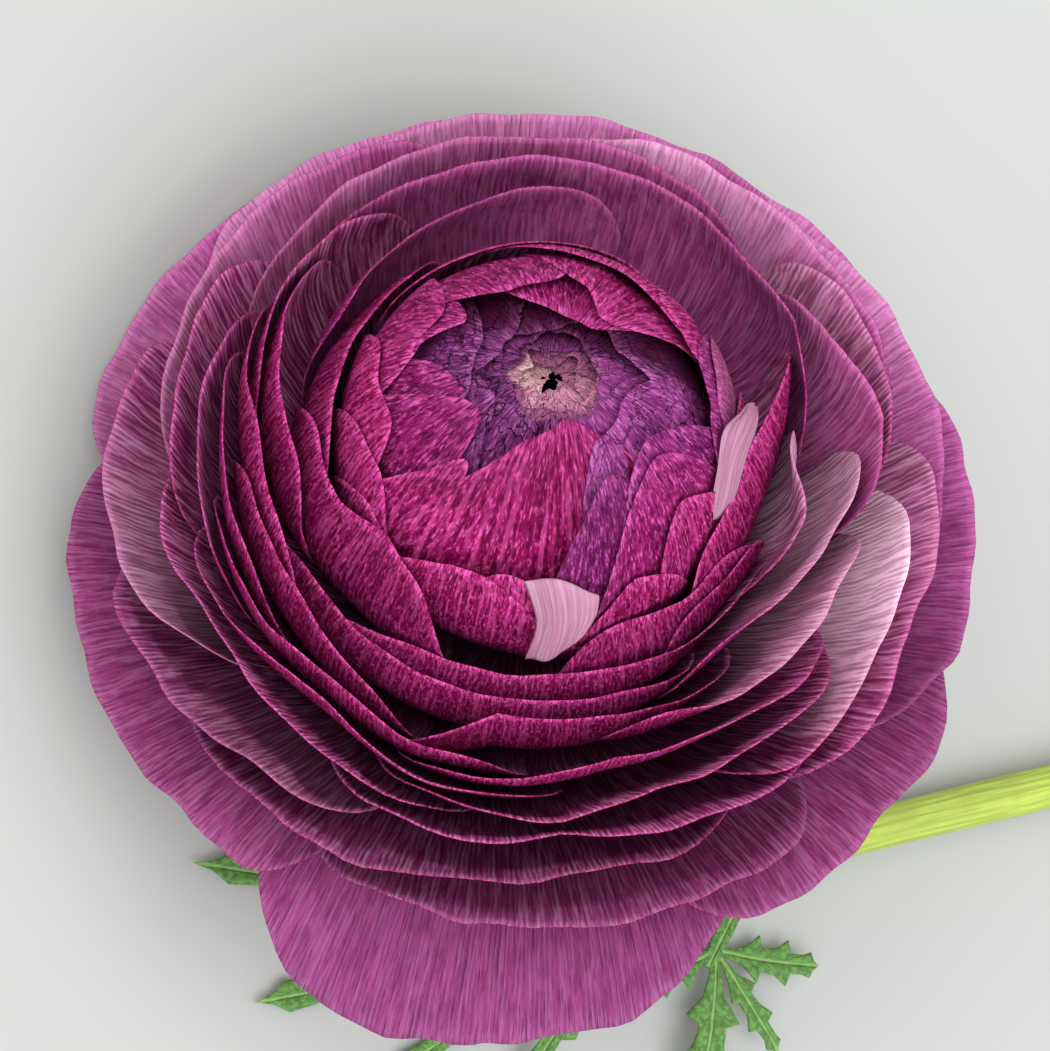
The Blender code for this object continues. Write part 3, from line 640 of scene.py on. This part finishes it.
def through(points, s):
    """A smooth curve through evenly spaced points, at shares s of the way."""
    points = np.asarray(points, float)
    ends = np.vstack([2 * points[0] - points[1], points, 2 * points[-1] - points[-2]])
    place = np.clip(s, 0, 1) * (len(points) - 1)
    piece = np.minimum(place.astype(int), len(points) - 2)
    t = (place - piece)[..., None]
    a, b, c, d = (ends[piece + k] for k in range(4))
    bend = (2 * a - 5 * b + 4 * c - d) * t**2 + (3 * b - a - 3 * c + d) * t**3
    return 0.5 * (2 * b + (c - a) * t + bend)


def flap_petal(name, corners, violet, pale, seed, looks):
    """A turned-out petal through its rows of points."""
    sheet, q, v = flat_sheet(name, FLAP_COLUMNS, FLAP_ROWS)
    corners = np.array(corners, float)
    lengthwise = [through(corners[:, k], v) for k in range(corners.shape[1])]
    crosswise = np.stack(lengthwise, axis=1)
    placed = [through(line, share) for line, share in zip(crosswise, (q + 1) / 2)]
    azimuth, elevation, reach = np.array(placed).T
    phases = np.random.default_rng(seed).uniform(0, 2 * math.pi, 2)
    turns, crest = FLAP_WAVE_ACROSS
    reach = reach + crest * np.sin(turns * q + phases[0]) * v
    turns, crest = FLAP_WAVE_ALONG
    reach = reach + crest * np.sin(turns * v + phases[1])
    rise = np.radians(elevation)
    points = round_axis(
        np.radians(azimuth), reach * np.cos(rise), BALL_HEIGHT + reach * np.sin(rise)
    )
    from_edge = np.minimum(np.minimum(v, 1 - v) * FLAP_LENGTH, (1 - np.abs(q)) * FLAP_SIDE_EDGE)
    pale = pale * (1 - FLAP_FADE * v)
    set_tone(sheet, violet, pale, 1, np.exp(-from_edge / FLAP_EDGE_WIDTH))
    shape_sheet(
        sheet, points, FLAP_HALF_WIDTH * q + MAP_SHIFT * seed, FLAP_LENGTH * v,
        ramp(from_edge, 0, FLAP_THIN_WIDTH), PETAL_THICK, looks,
    )
    return sheet


flap_looks = [petal_looks(
    "turned_petal", FLAP_PINK, FLAP_PINK, FLAP_PALE, streak=9.0, lit=0.60, grainy=0.50,
    veined=0.50, shade=0.0, rim_lit=0.3, rise=0.0003,
)] * 2
for index, (name, violet, pale, corners) in enumerate(FLAPS):
    flap = flap_petal(name, corners, violet, pale, index + FLAP_SEED, flap_looks)
    finish_piece(flap, "inner_petal", "inner_petals")

# Ring petals. The large outer petals, magenta to mauve with fan veins inside and lighter rims, partly
# their paler edge and partly painted highlight. They grow lower on the receptacle: the inner ones hug
# the ball, the next ones spread, and the guard petals hang over and touch what the flower lies on.
OUTER_ROWS = (
    # Azimuth, half width, rim radius, skew, bow, hang of the rim below its section, violet, pale.
    (170, 40, 20.8, 0.4, 0, 0, 0, 0),
    (219, 35, 20.8, 0.2, 0.4, 0, 0, 0),
    (0, 34, 20.5, 3.0, 3.0, 0, 0, 0),
    (318, 30, 21.5, 0.5, 0.5, 4.5, 0, 0),
    (128, 39, 24.5, -2.5, 0.5, 0, 0.35, 0),
    (332, 19, 23.3, 0, 0.5, 6.0, 0, 0),
    (288, 56, 24.3, 0.5, 1.2, 7.5, 0, 0),
    (358, 20, 25.0, -1.0, -1.0, 2.0, 0, 0.35),
    (179, 31, 27.0, -3.0, -1.5, 0, 0, 0),
    (157, 27, 27.0, -2.0, -1.5, 0, 0.1, 0),
    (262, 52, 27.0, 0.5, -0.5, 7.0, 0, 0),
    (193, 32, 28.5, -0.5, 0.5, 0, 0, 0),
    (83, 60, 30.5, 3.0, -6.0, 0, 0.3, 0),
    (344, 30, 30.5, 2.0, 0.5, 0, 0, 0.45),
    (225, 30, 30.0, 2.0, 0.5, 1.0, 0, 0),
    (276, 46, 29.5, 0, -1.0, 5.0, 0, 0),
    (24, 24, 31.5, 1.5, -3.0, 0, 0.3, 0.05),
    (199, 27, 32.0, 1.0, -1.0, 0, 0, 0),
    (238, 36, 32.0, 2.5, 0, 0, 0, 0),
    (328, 30, 34.0, 0.5, -2.0, 0, 0, 0.45),
    (191, 28, 34.0, 0.5, -0.5, 0, 0.1, 0),
    (110, 48, 34.5, 0, -2.0, 0, 0.3, 0.1),
    (300, 38, 35.0, 2.0, -0.5, 0, 0, 0),
    (243, 37, 35.5, 3.0, -1.0, 0, 0, 0),
    (32, 22, 36.5, 0, -1.5, 0, 0.1, 0.15),
    (176, 24, 37.0, -1.0, -1.5, 0, 0.1, 0),
    (60, 42, 37.5, 0, -1.5, 0, 0.6, 0.35),
    (298, 38, 38.0, 1.0, -1.0, 0, 0, 0),
    (230, 36, 38.0, 2.5, -0.5, 0, 0, 0),
    (342, 27, 39.0, 1.5, -3.5, 0, 0, 1.0),
    (150, 36, 39.0, 0, -1.0, 0, 0.4, 0.2),
    (289, 37, 40.5, 1.0, -0.5, 0, 0.1, 0),
    (92, 44, 41.0, 0, -1.5, 1.0, 0.5, 0.2),
    (352, 28, 41.5, 0, 0, 0, 0.1, 0.15),
    (195, 27, 43.0, -0.5, -2.0, 0, 0.1, 0.3),
    (228, 26, 43.5, -1.0, -1.5, 0, 0.1, 0.1),
    (268, 41, 44.0, -1.5, -1.5, 0, 0.1, 0),
    (34, 30, 43.5, 0, -1.5, 2.0, 0.6, 0.2),
    (125, 30, 44.5, -0.5, -1.5, 3.0, 0.6, 0.2),
    (62, 30, 45.0, 0, -1.5, 3.0, 0.6, 0.2),
    (288, 34, 46.0, 0, 0.5, 0, 0.2, 0),
    (160, 28, 45.5, 0.5, -1.5, 2.5, 0.6, 0.1),
    (92, 28, 46.0, 0, -1.5, 3.0, 0.6, 0.2),
    (8, 28, 46.0, -1.5, -2.0, 1.0, 0.5, 0),
    (216, 32, 47.5, 1.5, -3.0, 1.0, 0.3, 0),
    (330, 26, 48.0, 0, -2.0, 1.0, 0.3, 0),
    (277, 31, 52.0, -1.0, -2.5, 0, 0.5, 0),
)
OUTER_SECTIONS = (
    # Rim radius, then five points (radius, height) from root to rim.
    (20.5, (3.1, 4.2), (13.4, 7.2), (21.1, 14.2), (23.3, 22.0), (20.2, 31.4)),
    (24.0, (3.2, 4.0), (14.0, 7.0), (22.6, 13.4), (25.7, 21.8), (24.0, 31.0)),
    (28.0, (3.6, 3.2), (15.5, 5.9), (25.0, 12.2), (29.0, 21.0), (28.0, 30.4)),
    (33.0, (4.0, 2.4), (16.5, 4.6), (26.8, 10.6), (31.7, 18.6), (33.0, 27.5)),
    (38.0, (4.3, 1.7), (17.0, 3.4), (28.3, 8.6), (34.4, 16.0), (38.0, 23.4)),
    (42.0, (4.6, 1.0), (17.5, 2.2), (29.3, 6.2), (37.0, 12.0), (42.0, 18.0)),
    (46.0, (5.0, 0.3), (18.0, 0.9), (30.5, 3.2), (39.5, 6.8), (46.0, 10.5)),
    (52.0, (5.2, -0.3), (18.0, 0.0), (31.0, 0.6), (42.6, -2.6), (51.6, -9.4)),
)
OUTER_LIMITS = (20.5, 52.0)
OUTER_CLEAR = 1.1
OUTER_SEED = 51
SURFACE_SOFTNESS = 2.0

# The rings stand further open on this side, most of all those a little way out from the ball.
LEAN = 5.0
LEAN_SIDE = (335, 28)
LEAN_GROWS = (21, 26)
LEAST_LEAN = 0.3
LEAN_FADES = (38, 33)

# A petal gets painted shade up to the rim of the petal inside it, and painted light above. Rims closer
# in than UPRIGHT_RIM stand up, so that is read along their height, and further out along their radius.
UPRIGHT_RIM = 31
HIDDEN_TO = 0.97
BARE_SHARE = 0.3
BARE_REACH = 0.50

# Painted light and painted shade on parts of the rings. A side is its azimuth and spread in degrees, and
# each part has the rim radii over which it comes in or fades.
SIDE_LIGHT = 0.8
RIGHT_SIDE = (355, 36)
LEFT_SIDE = (188, 56)
LEFT_RIMS = (22, 28)
SIDE_RIMS = (44, 38)
WIDE_LIGHT = 0.6
WIDE_RIMS = (33, 41)
WIDE_NEAR_FALL = 1.2
FAR_LIGHT = 0.6
NEAR_SHADE = 0.2
NEAR_RIMS = (42, 30)
GUARD_LIGHT = 0.7
GUARD_RIMS = (42, 52)
GUARD_SHADE = 0.6
GUARD_SHADE_RIMS = (41, 44)
GUARD_SHADE_SIDE = 0.85
PALE_MIDDLE = 0.6
PALE_SLOPE = 0.9


def around(azimuths, azimuth, spread):
    """A share that falls off on both sides of an azimuth."""
    return np.exp(-((((azimuths - azimuth + 180) % 360 - 180) / spread) ** 2))


def outer_section(rim, s):
    """Radius and height along a petal outside the ball, between the two nearest sections."""
    rims = np.array([row[0] for row in OUTER_SECTIONS])
    curves = np.array([through(row[1:], s) for row in OUTER_SECTIONS])
    place = np.interp(rim, rims, np.arange(len(rims)))
    low = np.minimum(place.astype(int), len(rims) - 2)
    share = (place - low)[..., None]
    index = np.indices(rim.shape)
    mixed = curves[(low, *index)] * (1 - share) + curves[(low + 1, *index)] * share
    return mixed[..., 0], mixed[..., 1]


def seat_on_surface(points, clear):
    """Bends what would hang below the surface up to it, softly, along the world's vertical."""
    up = np.array(bloom_turn.inverted() @ Vector((0, 0, 1)))
    height = BASE_POINT.z + points @ up
    low = clear + SURFACE_SOFTNESS
    bent = clear + SURFACE_SOFTNESS * np.exp(np.minimum(height - low, 0) / SURFACE_SOFTNESS)
    return points + (np.where(height < low, bent, height) - height)[..., None] * up


def exposure(petal, radius, height, inner_rims):
    """How much painted light each point gets, from 0, full painted shade, behind the rim of the petal
    inside it to 1 above it.
    """
    s, radius, height = (part.reshape(petal.grid) for part in (petal.s, radius, height))
    inner_rim = np.interp(petal.azimuth, AZIMUTHS, inner_rims, period=360)
    inner_rim = inner_rim.reshape(petal.grid)[-1]
    inner_radius, inner_height = outer_section(inner_rim, np.ones_like(inner_rim))
    climb, level = radius, inner_radius
    if petal.rim < UPRIGHT_RIM:
        climb, level = height, inner_height
    hidden = [np.interp(level[j], climb[:, j], s[:, j]) for j in range(s.shape[1])]
    hidden = np.minimum(hidden, HIDDEN_TO * s[-1])
    bare = (s - hidden) / (BARE_REACH * (s[-1] - hidden))
    return np.clip(BARE_SHARE + (1 - BARE_SHARE) * bare, 0, 1).ravel()


def ring_light(petal, painted_light):
    """Adds painted light on the sides, far petals and wide petals, and painted shade on the near and
    guard petals.
    """
    far = np.sin(petal.theta)
    rim = petal.rim
    sides = around(petal.azimuth, *RIGHT_SIDE)
    sides += around(petal.azimuth, *LEFT_SIDE) * ramp(rim, *LEFT_RIMS)
    light = painted_light + SIDE_LIGHT * sides * ramp(rim, *SIDE_RIMS)
    near = np.clip(-WIDE_NEAR_FALL * far, 0, 1)
    light += WIDE_LIGHT * ramp(rim, *WIDE_RIMS) * (1 - near)
    light += np.where(far > 0, FAR_LIGHT * far, NEAR_SHADE * far * ramp(rim, *NEAR_RIMS))
    light = np.maximum(light, GUARD_LIGHT * ramp(rim, *GUARD_RIMS))
    guard_painted_shade = GUARD_SHADE * np.clip(GUARD_SHADE_SIDE - far, 0, 1)
    return np.minimum(light, 1 - guard_painted_shade * ramp(rim, *GUARD_SHADE_RIMS))


def ring_petal(name, row, rims, inner_rims, seed, looks):
    """A petal outside the ball, which leans open, hangs at its rim and lies on the surface."""
    petal = Petal(name, row, rims, seed)
    s = petal.s
    radius, height = outer_section(petal.rim_radius, s)
    hang = row[5]
    height = height - hang * s**3
    leans = np.maximum(ramp(petal.rim_radius, *LEAN_GROWS), LEAST_LEAN)
    leans = leans * ramp(petal.rim_radius, *LEAN_FADES)
    leans = LEAN * around(petal.azimuth, *LEAN_SIDE) * leans
    radius = radius - leans * 4 * s * (1 - s)
    points = seat_on_surface(round_axis(petal.theta, radius, height), PETAL_THICK)
    light = ring_light(petal, exposure(petal, radius, height, inner_rims))
    pale = petal.pale * np.clip(PALE_MIDDLE + PALE_SLOPE * petal.q, 0, 1)
    return petal.finish(points, pale, light, looks)


for index, (row, rims, inside) in enumerate(nested_rows(OUTER_ROWS, OUTER_LIMITS, OUTER_CLEAR)):
    petal = ring_petal(
        f"ring_petal_{index:02d}", row, rims, inside, index + OUTER_SEED, satin_looks
    )
    finish_piece(petal, "outer_petal", "outer_petals")

# Calyx. Five cupped green sepals of leaf tissue, with a middle vein, and the small disc that they
# grow from at the top of the stem. They are pressed flat under the guard petals.
CALYX_TOP = -1.9
CALYX_RADIUS = 4.4
DISC_THICK = 1.6
DISC_SIDES = 40
DISC_SHARP_ANGLE = 40
SEPALS = 5
FIRST_SEPAL = 20
SEPAL_COLUMNS = 14
SEPAL_ROWS = 36
SEPAL_THICK = 0.5
SEPAL_LENGTH = 16
SEPAL_HALF_WIDTH = 3.8
SEPAL_PATH = ((1.4, -0.1), (7.0, -0.2), (12.5, -0.9), (17.0, -3.2))
SEPAL_DROP = 0.55
SEPAL_STEP = 0.12
SEPAL_CUP = 0.03
SEPAL_PULL = 0.06
SEPAL_ROOT = 0.10
SEPAL_TAPER = 0.84
SEPAL_ROUND = 0.8
SEPAL_WAVE = 0.10
SEPAL_WAVE_TURNS = 1.4
SEPAL_THIN_SLOPE = 3
SEPAL_GREEN = ((0.085, 0.150, 0.020), (0.180, 0.270, 0.050), (0.420, 0.500, 0.160))
VEIN_SLANT = 1.5
LEAF_RISE = 0.00025
WELD_DISTANCE = 0.00001


def green_looks(name, colours, vein_step, roughness):
    """Leaf tissue: a pale middle vein, fine side veins that slant to the tip, and mottling."""
    deep, body, light = colours
    made = Shader(name, Roughness=roughness, Specular_IOR_Level=0.3)
    across, along = made.across_and_along()
    aside = made.math("ABSOLUTE", across)
    slanted = made.math("SUBTRACT", along, made.times(aside, VEIN_SLANT))
    mottle = made.noise(made.place(across, along), 1.4, 4.0, 0.6)
    bent = made.plus(slanted, made.times(mottle, vein_step))
    wave = made.math("PINGPONG", bent, vein_step / 2)
    side_vein = made.spread(wave, 0.0, 0.14 * vein_step, 1.0, 0.0)
    middle_vein = made.spread(aside, 0.10, 0.34, 1.0, 0.0)
    vein = made.math("MAXIMUM", middle_vein, made.times(side_vein, 0.6))
    shown = made.mix(made.spread(mottle, 0.38, 0.62), deep, body)
    shown = made.mix(made.times(vein, 0.55), shown, light)
    raised = made.plus(made.times(vein, -0.7), made.times(mottle, 0.3))
    return made.finish(shown, made.bump(raised, LEAF_RISE))


def close_up(sharp_angle):
    """Merges the seams and poles of the active piece, turns its faces outwards and smooths it."""
    bpy.ops.object.mode_set(mode="EDIT")
    bpy.ops.mesh.select_all(action="SELECT")
    bpy.ops.mesh.remove_doubles(threshold=WELD_DISTANCE)
    bpy.ops.mesh.normals_make_consistent(inside=False)
    bpy.ops.object.mode_set(mode="OBJECT")
    bpy.ops.object.shade_smooth_by_angle(angle=math.radians(sharp_angle))


def turned_by(x, y, degrees):
    """A point of the plane turned round its origin."""
    angle = math.radians(degrees)
    return (
        x * math.cos(angle) - y * math.sin(angle),
        x * math.sin(angle) + y * math.cos(angle),
    )


def sepal(index, looks):
    """One sepal: a cupped blade along its path, turned round the axis to its place."""
    sheet, q, v = flat_sheet(f"sepal_{index}", SEPAL_COLUMNS, SEPAL_ROWS)
    path = through(SEPAL_PATH, v)
    half = SEPAL_HALF_WIDTH * np.sin(np.pi * (SEPAL_ROOT + SEPAL_TAPER * v)) ** SEPAL_ROUND
    side = half * q
    out = path[:, 0] - SEPAL_PULL * half * q**2
    lift = CALYX_TOP - SEPAL_DROP - SEPAL_STEP * index + path[:, 1] + SEPAL_CUP * side**2
    lift += SEPAL_WAVE * np.sin(out * SEPAL_WAVE_TURNS + index) * np.abs(q)
    turned = turned_by(out, side, 360 / SEPALS * index + FIRST_SEPAL)
    points = seat_on_surface(np.stack([*turned, lift], axis=-1), SEPAL_THICK / 2)
    thin = np.minimum((1 - np.abs(q)) * SEPAL_THIN_SLOPE, 1)
    shape_sheet(sheet, points, side, SEPAL_LENGTH * v, thin, SEPAL_THICK, [looks] * 2)
    return sheet


sepal_looks = green_looks("sepal_green", SEPAL_GREEN, vein_step=1.6, roughness=0.55)
for index in range(SEPALS):
    finish_piece(sepal(index, sepal_looks), "sepal", "calyx")

# The disc is turned round the bloom's axis: its profile runs from the axis out and back to it.
calyx_foot = CALYX_TOP - DISC_THICK
disc_profile = (
    (0, CALYX_TOP),
    (0.8 * CALYX_RADIUS, CALYX_TOP),
    (CALYX_RADIUS, CALYX_TOP - 0.4),
    (CALYX_RADIUS, calyx_foot + 0.6),
    (0.85 * CALYX_RADIUS, calyx_foot + 0.15),
    (0, calyx_foot),
)
steps = len(disc_profile) - 1
disc, q, v = flat_sheet("calyx_disc", DISC_SIDES, steps)
radius, height = np.array(disc_profile)[(v * steps).round().astype(int)].T
points = round_axis(math.pi * q, radius, height)
disc.data.vertices.foreach_set("co", to_world(points).ravel())
disc.data.materials.append(sepal_looks)
close_up(DISC_SHARP_ANGLE)
finish_piece(disc, "sepal", "calyx")

# Stem. A round green stalk with fine ribs and a pale pith. It grows from the calyx, bends down to
# the surface and lies on it, and ends in a straight cut.
STEM_RADIUS = 2.25
STEM_LOW = (15.5, -30.5)
STEM_NODE = (38.0, -42.1)
STEM_END = (84.0, -45.0)
STEM_LOW_HEADING = Vector((0.46, -0.89, 0.0))
STEM_HEADING = Vector((1.0, -0.062, 0.0))
STEM_TOP_GAP = 0.3
STEM_TOP_WIDTH = 1.45
STEM_SIDES = 40
STEM_STEPS = 60
STEM_SHARP_ANGLE = 50
STEM_RIBS = 9
STEM_RIB_DEPTH = 0.012
STEM_SWELL = 0.01
STEM_SWELL_LENGTH = 3.1

# Rings that close each end, as share of the radius and way past the end: a round shoulder, then
# the sunk middle.
END_RINGS = ((0.94, 0.10), (0.50, 0.0), (0.30, -0.25), (0.0, -0.35))
STEM_GREEN = (0.250, 0.350, 0.030)
STEM_LIGHT = (0.420, 0.520, 0.070)
STEM_CLOUD = (0.300, 0.360, 0.040)
PITH = (0.560, 0.640, 0.300)
PITH_MIDDLE = (0.250, 0.300, 0.090)
FIBRE_RISE = 0.00012


def stalk_looks():
    """Stalk: yellow-green with fine lengthwise ribs, and a pale pith where it is cut."""
    made = Shader("stalk_green", Roughness=0.42, Subsurface_Weight=0.1, Subsurface_Scale=0.001)
    across, along = made.across_and_along()
    fibre = made.noise(made.place(made.times(across, 2.6), made.times(along, 0.09)), 1.0, 3.0)
    cloud = made.noise(made.place(across, along), 0.22, 3.0)
    shown = made.mix(made.spread(fibre, 0.38, 0.62), STEM_GREEN, STEM_LIGHT)
    shown = made.mix(made.spread(cloud, 0.40, 0.65, 0.0, 0.5), shown, STEM_CLOUD)
    cut = made.attribute("cut")["Fac"]
    shown = made.mix(made.spread(cut, 0.03, 0.12), shown, PITH)
    shown = made.mix(made.spread(cut, 0.55, 0.80), shown, PITH_MIDDLE)
    return made.finish(shown, made.bump(fibre, FIBRE_RISE))


def stem_line(route):
    """Centres and radii along the stem, from one point of the route to the next."""
    centres = [route[0][0]]
    radii = [STEM_RADIUS * route[0][3]]
    for (a, along_a, handle_a, wide_a), (b, along_b, handle_b, wide_b) in zip(route, route[1:]):
        handle_out = a + along_a.normalized() * handle_a
        handle_in = b - along_b.normalized() * handle_b
        centres += interpolate_bezier(a, handle_out, handle_in, b, STEM_STEPS)[1:]
        share = np.linspace(0, 1, STEM_STEPS)[1:]
        radii += list(STEM_RADIUS * (wide_a + (wide_b - wide_a) * share))
    return np.array(centres), np.array(radii)


# Each point of the route has its place, heading, length of its curve handles and width.
lying = STEM_RADIUS - BASE_POINT.z
stem_top = bloom_turn @ Vector((0, 0, calyx_foot - STEM_TOP_GAP))
centres, radii = stem_line((
    (stem_top, -BLOOM_AXIS, 12.0, STEM_TOP_WIDTH),
    (Vector((*STEM_LOW, lying)), STEM_LOW_HEADING, 10.0, 1.0),
    (Vector((*STEM_NODE, lying)), STEM_HEADING, 9.0, 1.0),
    (Vector((*STEM_END, lying)), STEM_HEADING, 18.0, 1.0),
))

# The cross-section is carried along the line without twisting.
ahead = np.gradient(centres, axis=0)
ahead /= np.linalg.norm(ahead, axis=1, keepdims=True)
sideways = np.zeros_like(ahead)
sideways[0] = bloom_right
for k in range(1, len(ahead)):
    flat = sideways[k - 1] - ahead[k] * (sideways[k - 1] @ ahead[k])
    sideways[k] = flat / np.linalg.norm(flat)
upright = np.cross(ahead, sideways)
length = np.concatenate([[0], np.cumsum(np.linalg.norm(np.diff(centres, axis=0), axis=1))])

last = len(centres) - 1
rings = [(0, share, -past) for share, past in reversed(END_RINGS)]
rings += [(k, 1.0, 0.0) for k in range(len(centres))]
rings += [(last, share, past) for share, past in END_RINGS]
stem, q, v = flat_sheet("stem_stalk", STEM_SIDES, len(rings) - 1)
pick, shrink, past = np.array(rings)[(v * (len(rings) - 1)).round().astype(int)].T
pick = pick.astype(int)
turn = math.pi * q
ripple = 1 + STEM_RIB_DEPTH * np.cos(STEM_RIBS * turn)
ripple += STEM_SWELL * np.sin(length[pick] / STEM_SWELL_LENGTH)
reach = (radii[pick] * shrink * ripple)[:, None]
outward = np.cos(turn)[:, None] * sideways[pick] + np.sin(turn)[:, None] * upright[pick]
points = centres[pick] + ahead[pick] * past[:, None] + reach * outward
mesh = stem.data
mesh.vertices.foreach_set("co", ((points + np.array(BASE_POINT)) * MM).ravel())
set_map(mesh, STEM_RADIUS * turn, length[pick])
cut_share = (1 - shrink) * (pick > 0)
mesh.attributes.new("cut", "FLOAT", "POINT").data.foreach_set("value", cut_share)
close_up(STEM_SHARP_ANGLE)
mesh.materials.append(stalk_looks())
finish_piece(stem, "stem", "stem")

# Leaves. Flat green blades, deeply cut into toothed lobes with a sunk middle vein, on short stalks
# of the same tissue. They grow by the stem's node and lie arched on the surface.
LEAF_THICK = 0.5
LEAF_LIFT = 0.45
LEAF_ARCH = 2.4
LEAF_REACH = 40.0
LEAF_COLUMNS = 12
LEAF_ROWS = 96
LEAF_STEP = 0.012
LEAF_SLOPE = 0.16
LEAF_WAVE = 0.12
LEAF_WAVE_TURNS = 2.2
LEAST_WAVED_HALF = 0.6
LOBE_BEND = 0.03
STALK_LENGTH = 9.0
STALK_OVERLAP = 2
STALK_HALF_WIDTH = 1.1

# Edges as points (share of the length, share of the half width).
STALK_EDGE = ((0.0, 1.0), (1.0, 0.8))
LOBE_EDGE = (
    (0.0, 0.10), (0.16, 0.26), (0.28, 0.40), (0.42, 1.05), (0.46, 0.52), (0.58, 0.58),
    (0.70, 1.00), (0.74, 0.44), (0.84, 0.42), (0.92, 0.56), (0.95, 0.20), (1.0, 0.0),
)

# Name, foot of the stalk, heading, and the lobes with their turn, length and half width.
LEAVES = (
    ("leaf_left", (24.3, -42.7), 174,
     ((-13, 52.5, 2.9), (4.5, 46, 3.0), (24, 35, 2.4), (46, 24, 2.4))),
    ("leaf_right", (29.6, -43.95), 221,
     ((-38, 11, 2.4), (24, 17, 3.2), (68, 13, 1.8), (116, 12.5, 2.4))),
)
LEAF_GREEN = ((0.055, 0.140, 0.025), (0.110, 0.260, 0.050), (0.260, 0.450, 0.130))


def leaf_strip(name, foot, heading, root, turn, size, edge, index, looks):
    """A blade from a point of the leaf: its half width follows the edge's points."""
    strip, q, v = flat_sheet(name, LEAF_COLUMNS, LEAF_ROWS)
    blade_length, half_width = size
    shares, widths = np.array(edge).T
    half = half_width * np.interp(v, shares, widths)
    along = blade_length * v
    side = half * q + LOBE_BEND * blade_length * np.sin(math.pi * v) * math.sin(index)
    x, y = turned_by(along, side, turn)
    x = root + x
    arch = LEAF_ARCH * np.sin(np.pi * np.minimum(np.hypot(x, y) / LEAF_REACH, 1)) ** 2
    height = LEAF_LIFT + arch + LEAF_SLOPE * half * (np.abs(q) - 0.5) + LEAF_STEP * index
    wave = LEAF_WAVE * np.sin(LEAF_WAVE_TURNS * along + index) * np.abs(q)
    height = np.maximum(height + wave * (half > LEAST_WAVED_HALF), LEAF_THICK / 2)
    x, y = turned_by(x, y, heading)
    from_base = np.stack([foot[0] + x, foot[1] + y, height - BASE_POINT.z], axis=-1)
    points = from_base @ np.array(bloom_turn)
    thin = np.minimum(half * (1 - np.abs(q)) * 2, 1)
    shape_sheet(strip, points, half * q, along, thin, LEAF_THICK, [looks] * 2)
    return strip


leaf_looks = green_looks("leaf_green", LEAF_GREEN, vein_step=2.4, roughness=0.5)
for name, foot, heading, lobes in LEAVES:
    strips = [leaf_strip(
        f"{name}_stalk", foot, heading, 0.0, 0.0, (STALK_LENGTH + STALK_OVERLAP, STALK_HALF_WIDTH),
        STALK_EDGE, 0, leaf_looks,
    )]
    for index, (turn, *size) in enumerate(lobes):
        strips.append(leaf_strip(
            f"{name}_lobe_{index}", foot, heading, STALK_LENGTH, turn, size,
            LOBE_EDGE, index + 1, leaf_looks,
        ))
    for strip in strips:
        finish_piece(strip, "leaf", name)

# Setting. A plain pale floor that the flower lies on, two large soft lights and a pale room. The
# camera looks down on the flower as the photograph looks into the bloom.
FLOOR_SIDE = 6.0
FLOOR_DROP = 0.0003
FLOOR_GREY = (0.390, 0.395, 0.380, 1)
ROOM_WHITE = (0.93, 0.94, 0.95, 1)
ROOM_STRENGTH = 1.30
LIGHT_SIZE = 1.5
LIGHT_DISTANCE = 1.6
LIGHT_POWER = 17.0
PIXELS_PER_MM = 10.0
PHOTO_SIZE = (1050, 1051)
BASE_PIXEL = (516, 552)
CAMERA_DISTANCE = 1300.0
CAMERA_CLIP = 0.05
SENSOR = 36.0
AIM_HEIGHT = 20.0

bpy.ops.mesh.primitive_plane_add(size=FLOOR_SIDE, location=(0, 0, -FLOOR_DROP))
floor = bpy.context.object
floor.name = "floor"
floor_looks = Shader("pale_floor", Roughness=0.9)
floor_looks.principled.inputs["Base Color"].default_value = FLOOR_GREY
floor.data.materials.append(floor_looks.material)

image_right = Vector((0.843, -0.195, 0.5)).normalized()
image_up = Vector((0.253, 0.965, -0.05))
image_up = (image_up - image_up.project(image_right)).normalized()
toward_camera = image_right.cross(image_up)
aim = BASE_POINT + AIM_HEIGHT * toward_camera
aim += image_right * (PHOTO_SIZE[0] / 2 - BASE_PIXEL[0]) / PIXELS_PER_MM
aim -= image_up * (PHOTO_SIZE[1] / 2 - BASE_PIXEL[1]) / PIXELS_PER_MM
bpy.ops.object.camera_add()
camera = bpy.context.object
camera_turn = Matrix((image_right, image_up, toward_camera)).transposed().to_4x4()
camera_place = Matrix.Translation((aim + CAMERA_DISTANCE * toward_camera) * MM)
camera.matrix_world = camera_place @ camera_turn
camera.data.sensor_width = SENSOR
camera.data.lens = SENSOR * CAMERA_DISTANCE / (PHOTO_SIZE[1] / PIXELS_PER_MM)
camera.data.clip_start = CAMERA_CLIP
bpy.context.scene.camera = camera


def soft_light(name, side, up, near, colour):
    """An area light seen from the camera's side: right, up and near, aimed at the bloom."""
    heading = (side * image_right + up * image_up + near * toward_camera).normalized()
    bpy.ops.object.light_add(type="AREA")
    lamp = bpy.context.object
    lamp.name = name
    lamp.data.size = LIGHT_SIZE
    lamp.data.energy = LIGHT_POWER
    lamp.data.color = colour
    lamp.location = aim * MM + LIGHT_DISTANCE * heading
    lamp.rotation_mode = "QUATERNION"
    lamp.rotation_quaternion = heading.to_track_quat("Z", "Y")


soft_light("window", side=-0.25, up=0.35, near=1.20, colour=(1.0, 0.985, 0.96))
soft_light("fill", side=0.7, up=-0.6, near=0.9, colour=(0.95, 0.97, 1.0))
room = bpy.data.worlds.new("room")
bpy.context.scene.world = room
room.use_nodes = True
background = room.node_tree.nodes["Background"]
background.inputs["Color"].default_value = ROOM_WHITE
background.inputs["Strength"].default_value = ROOM_STRENGTH
bpy.context.scene.view_settings.view_transform = "Standard"
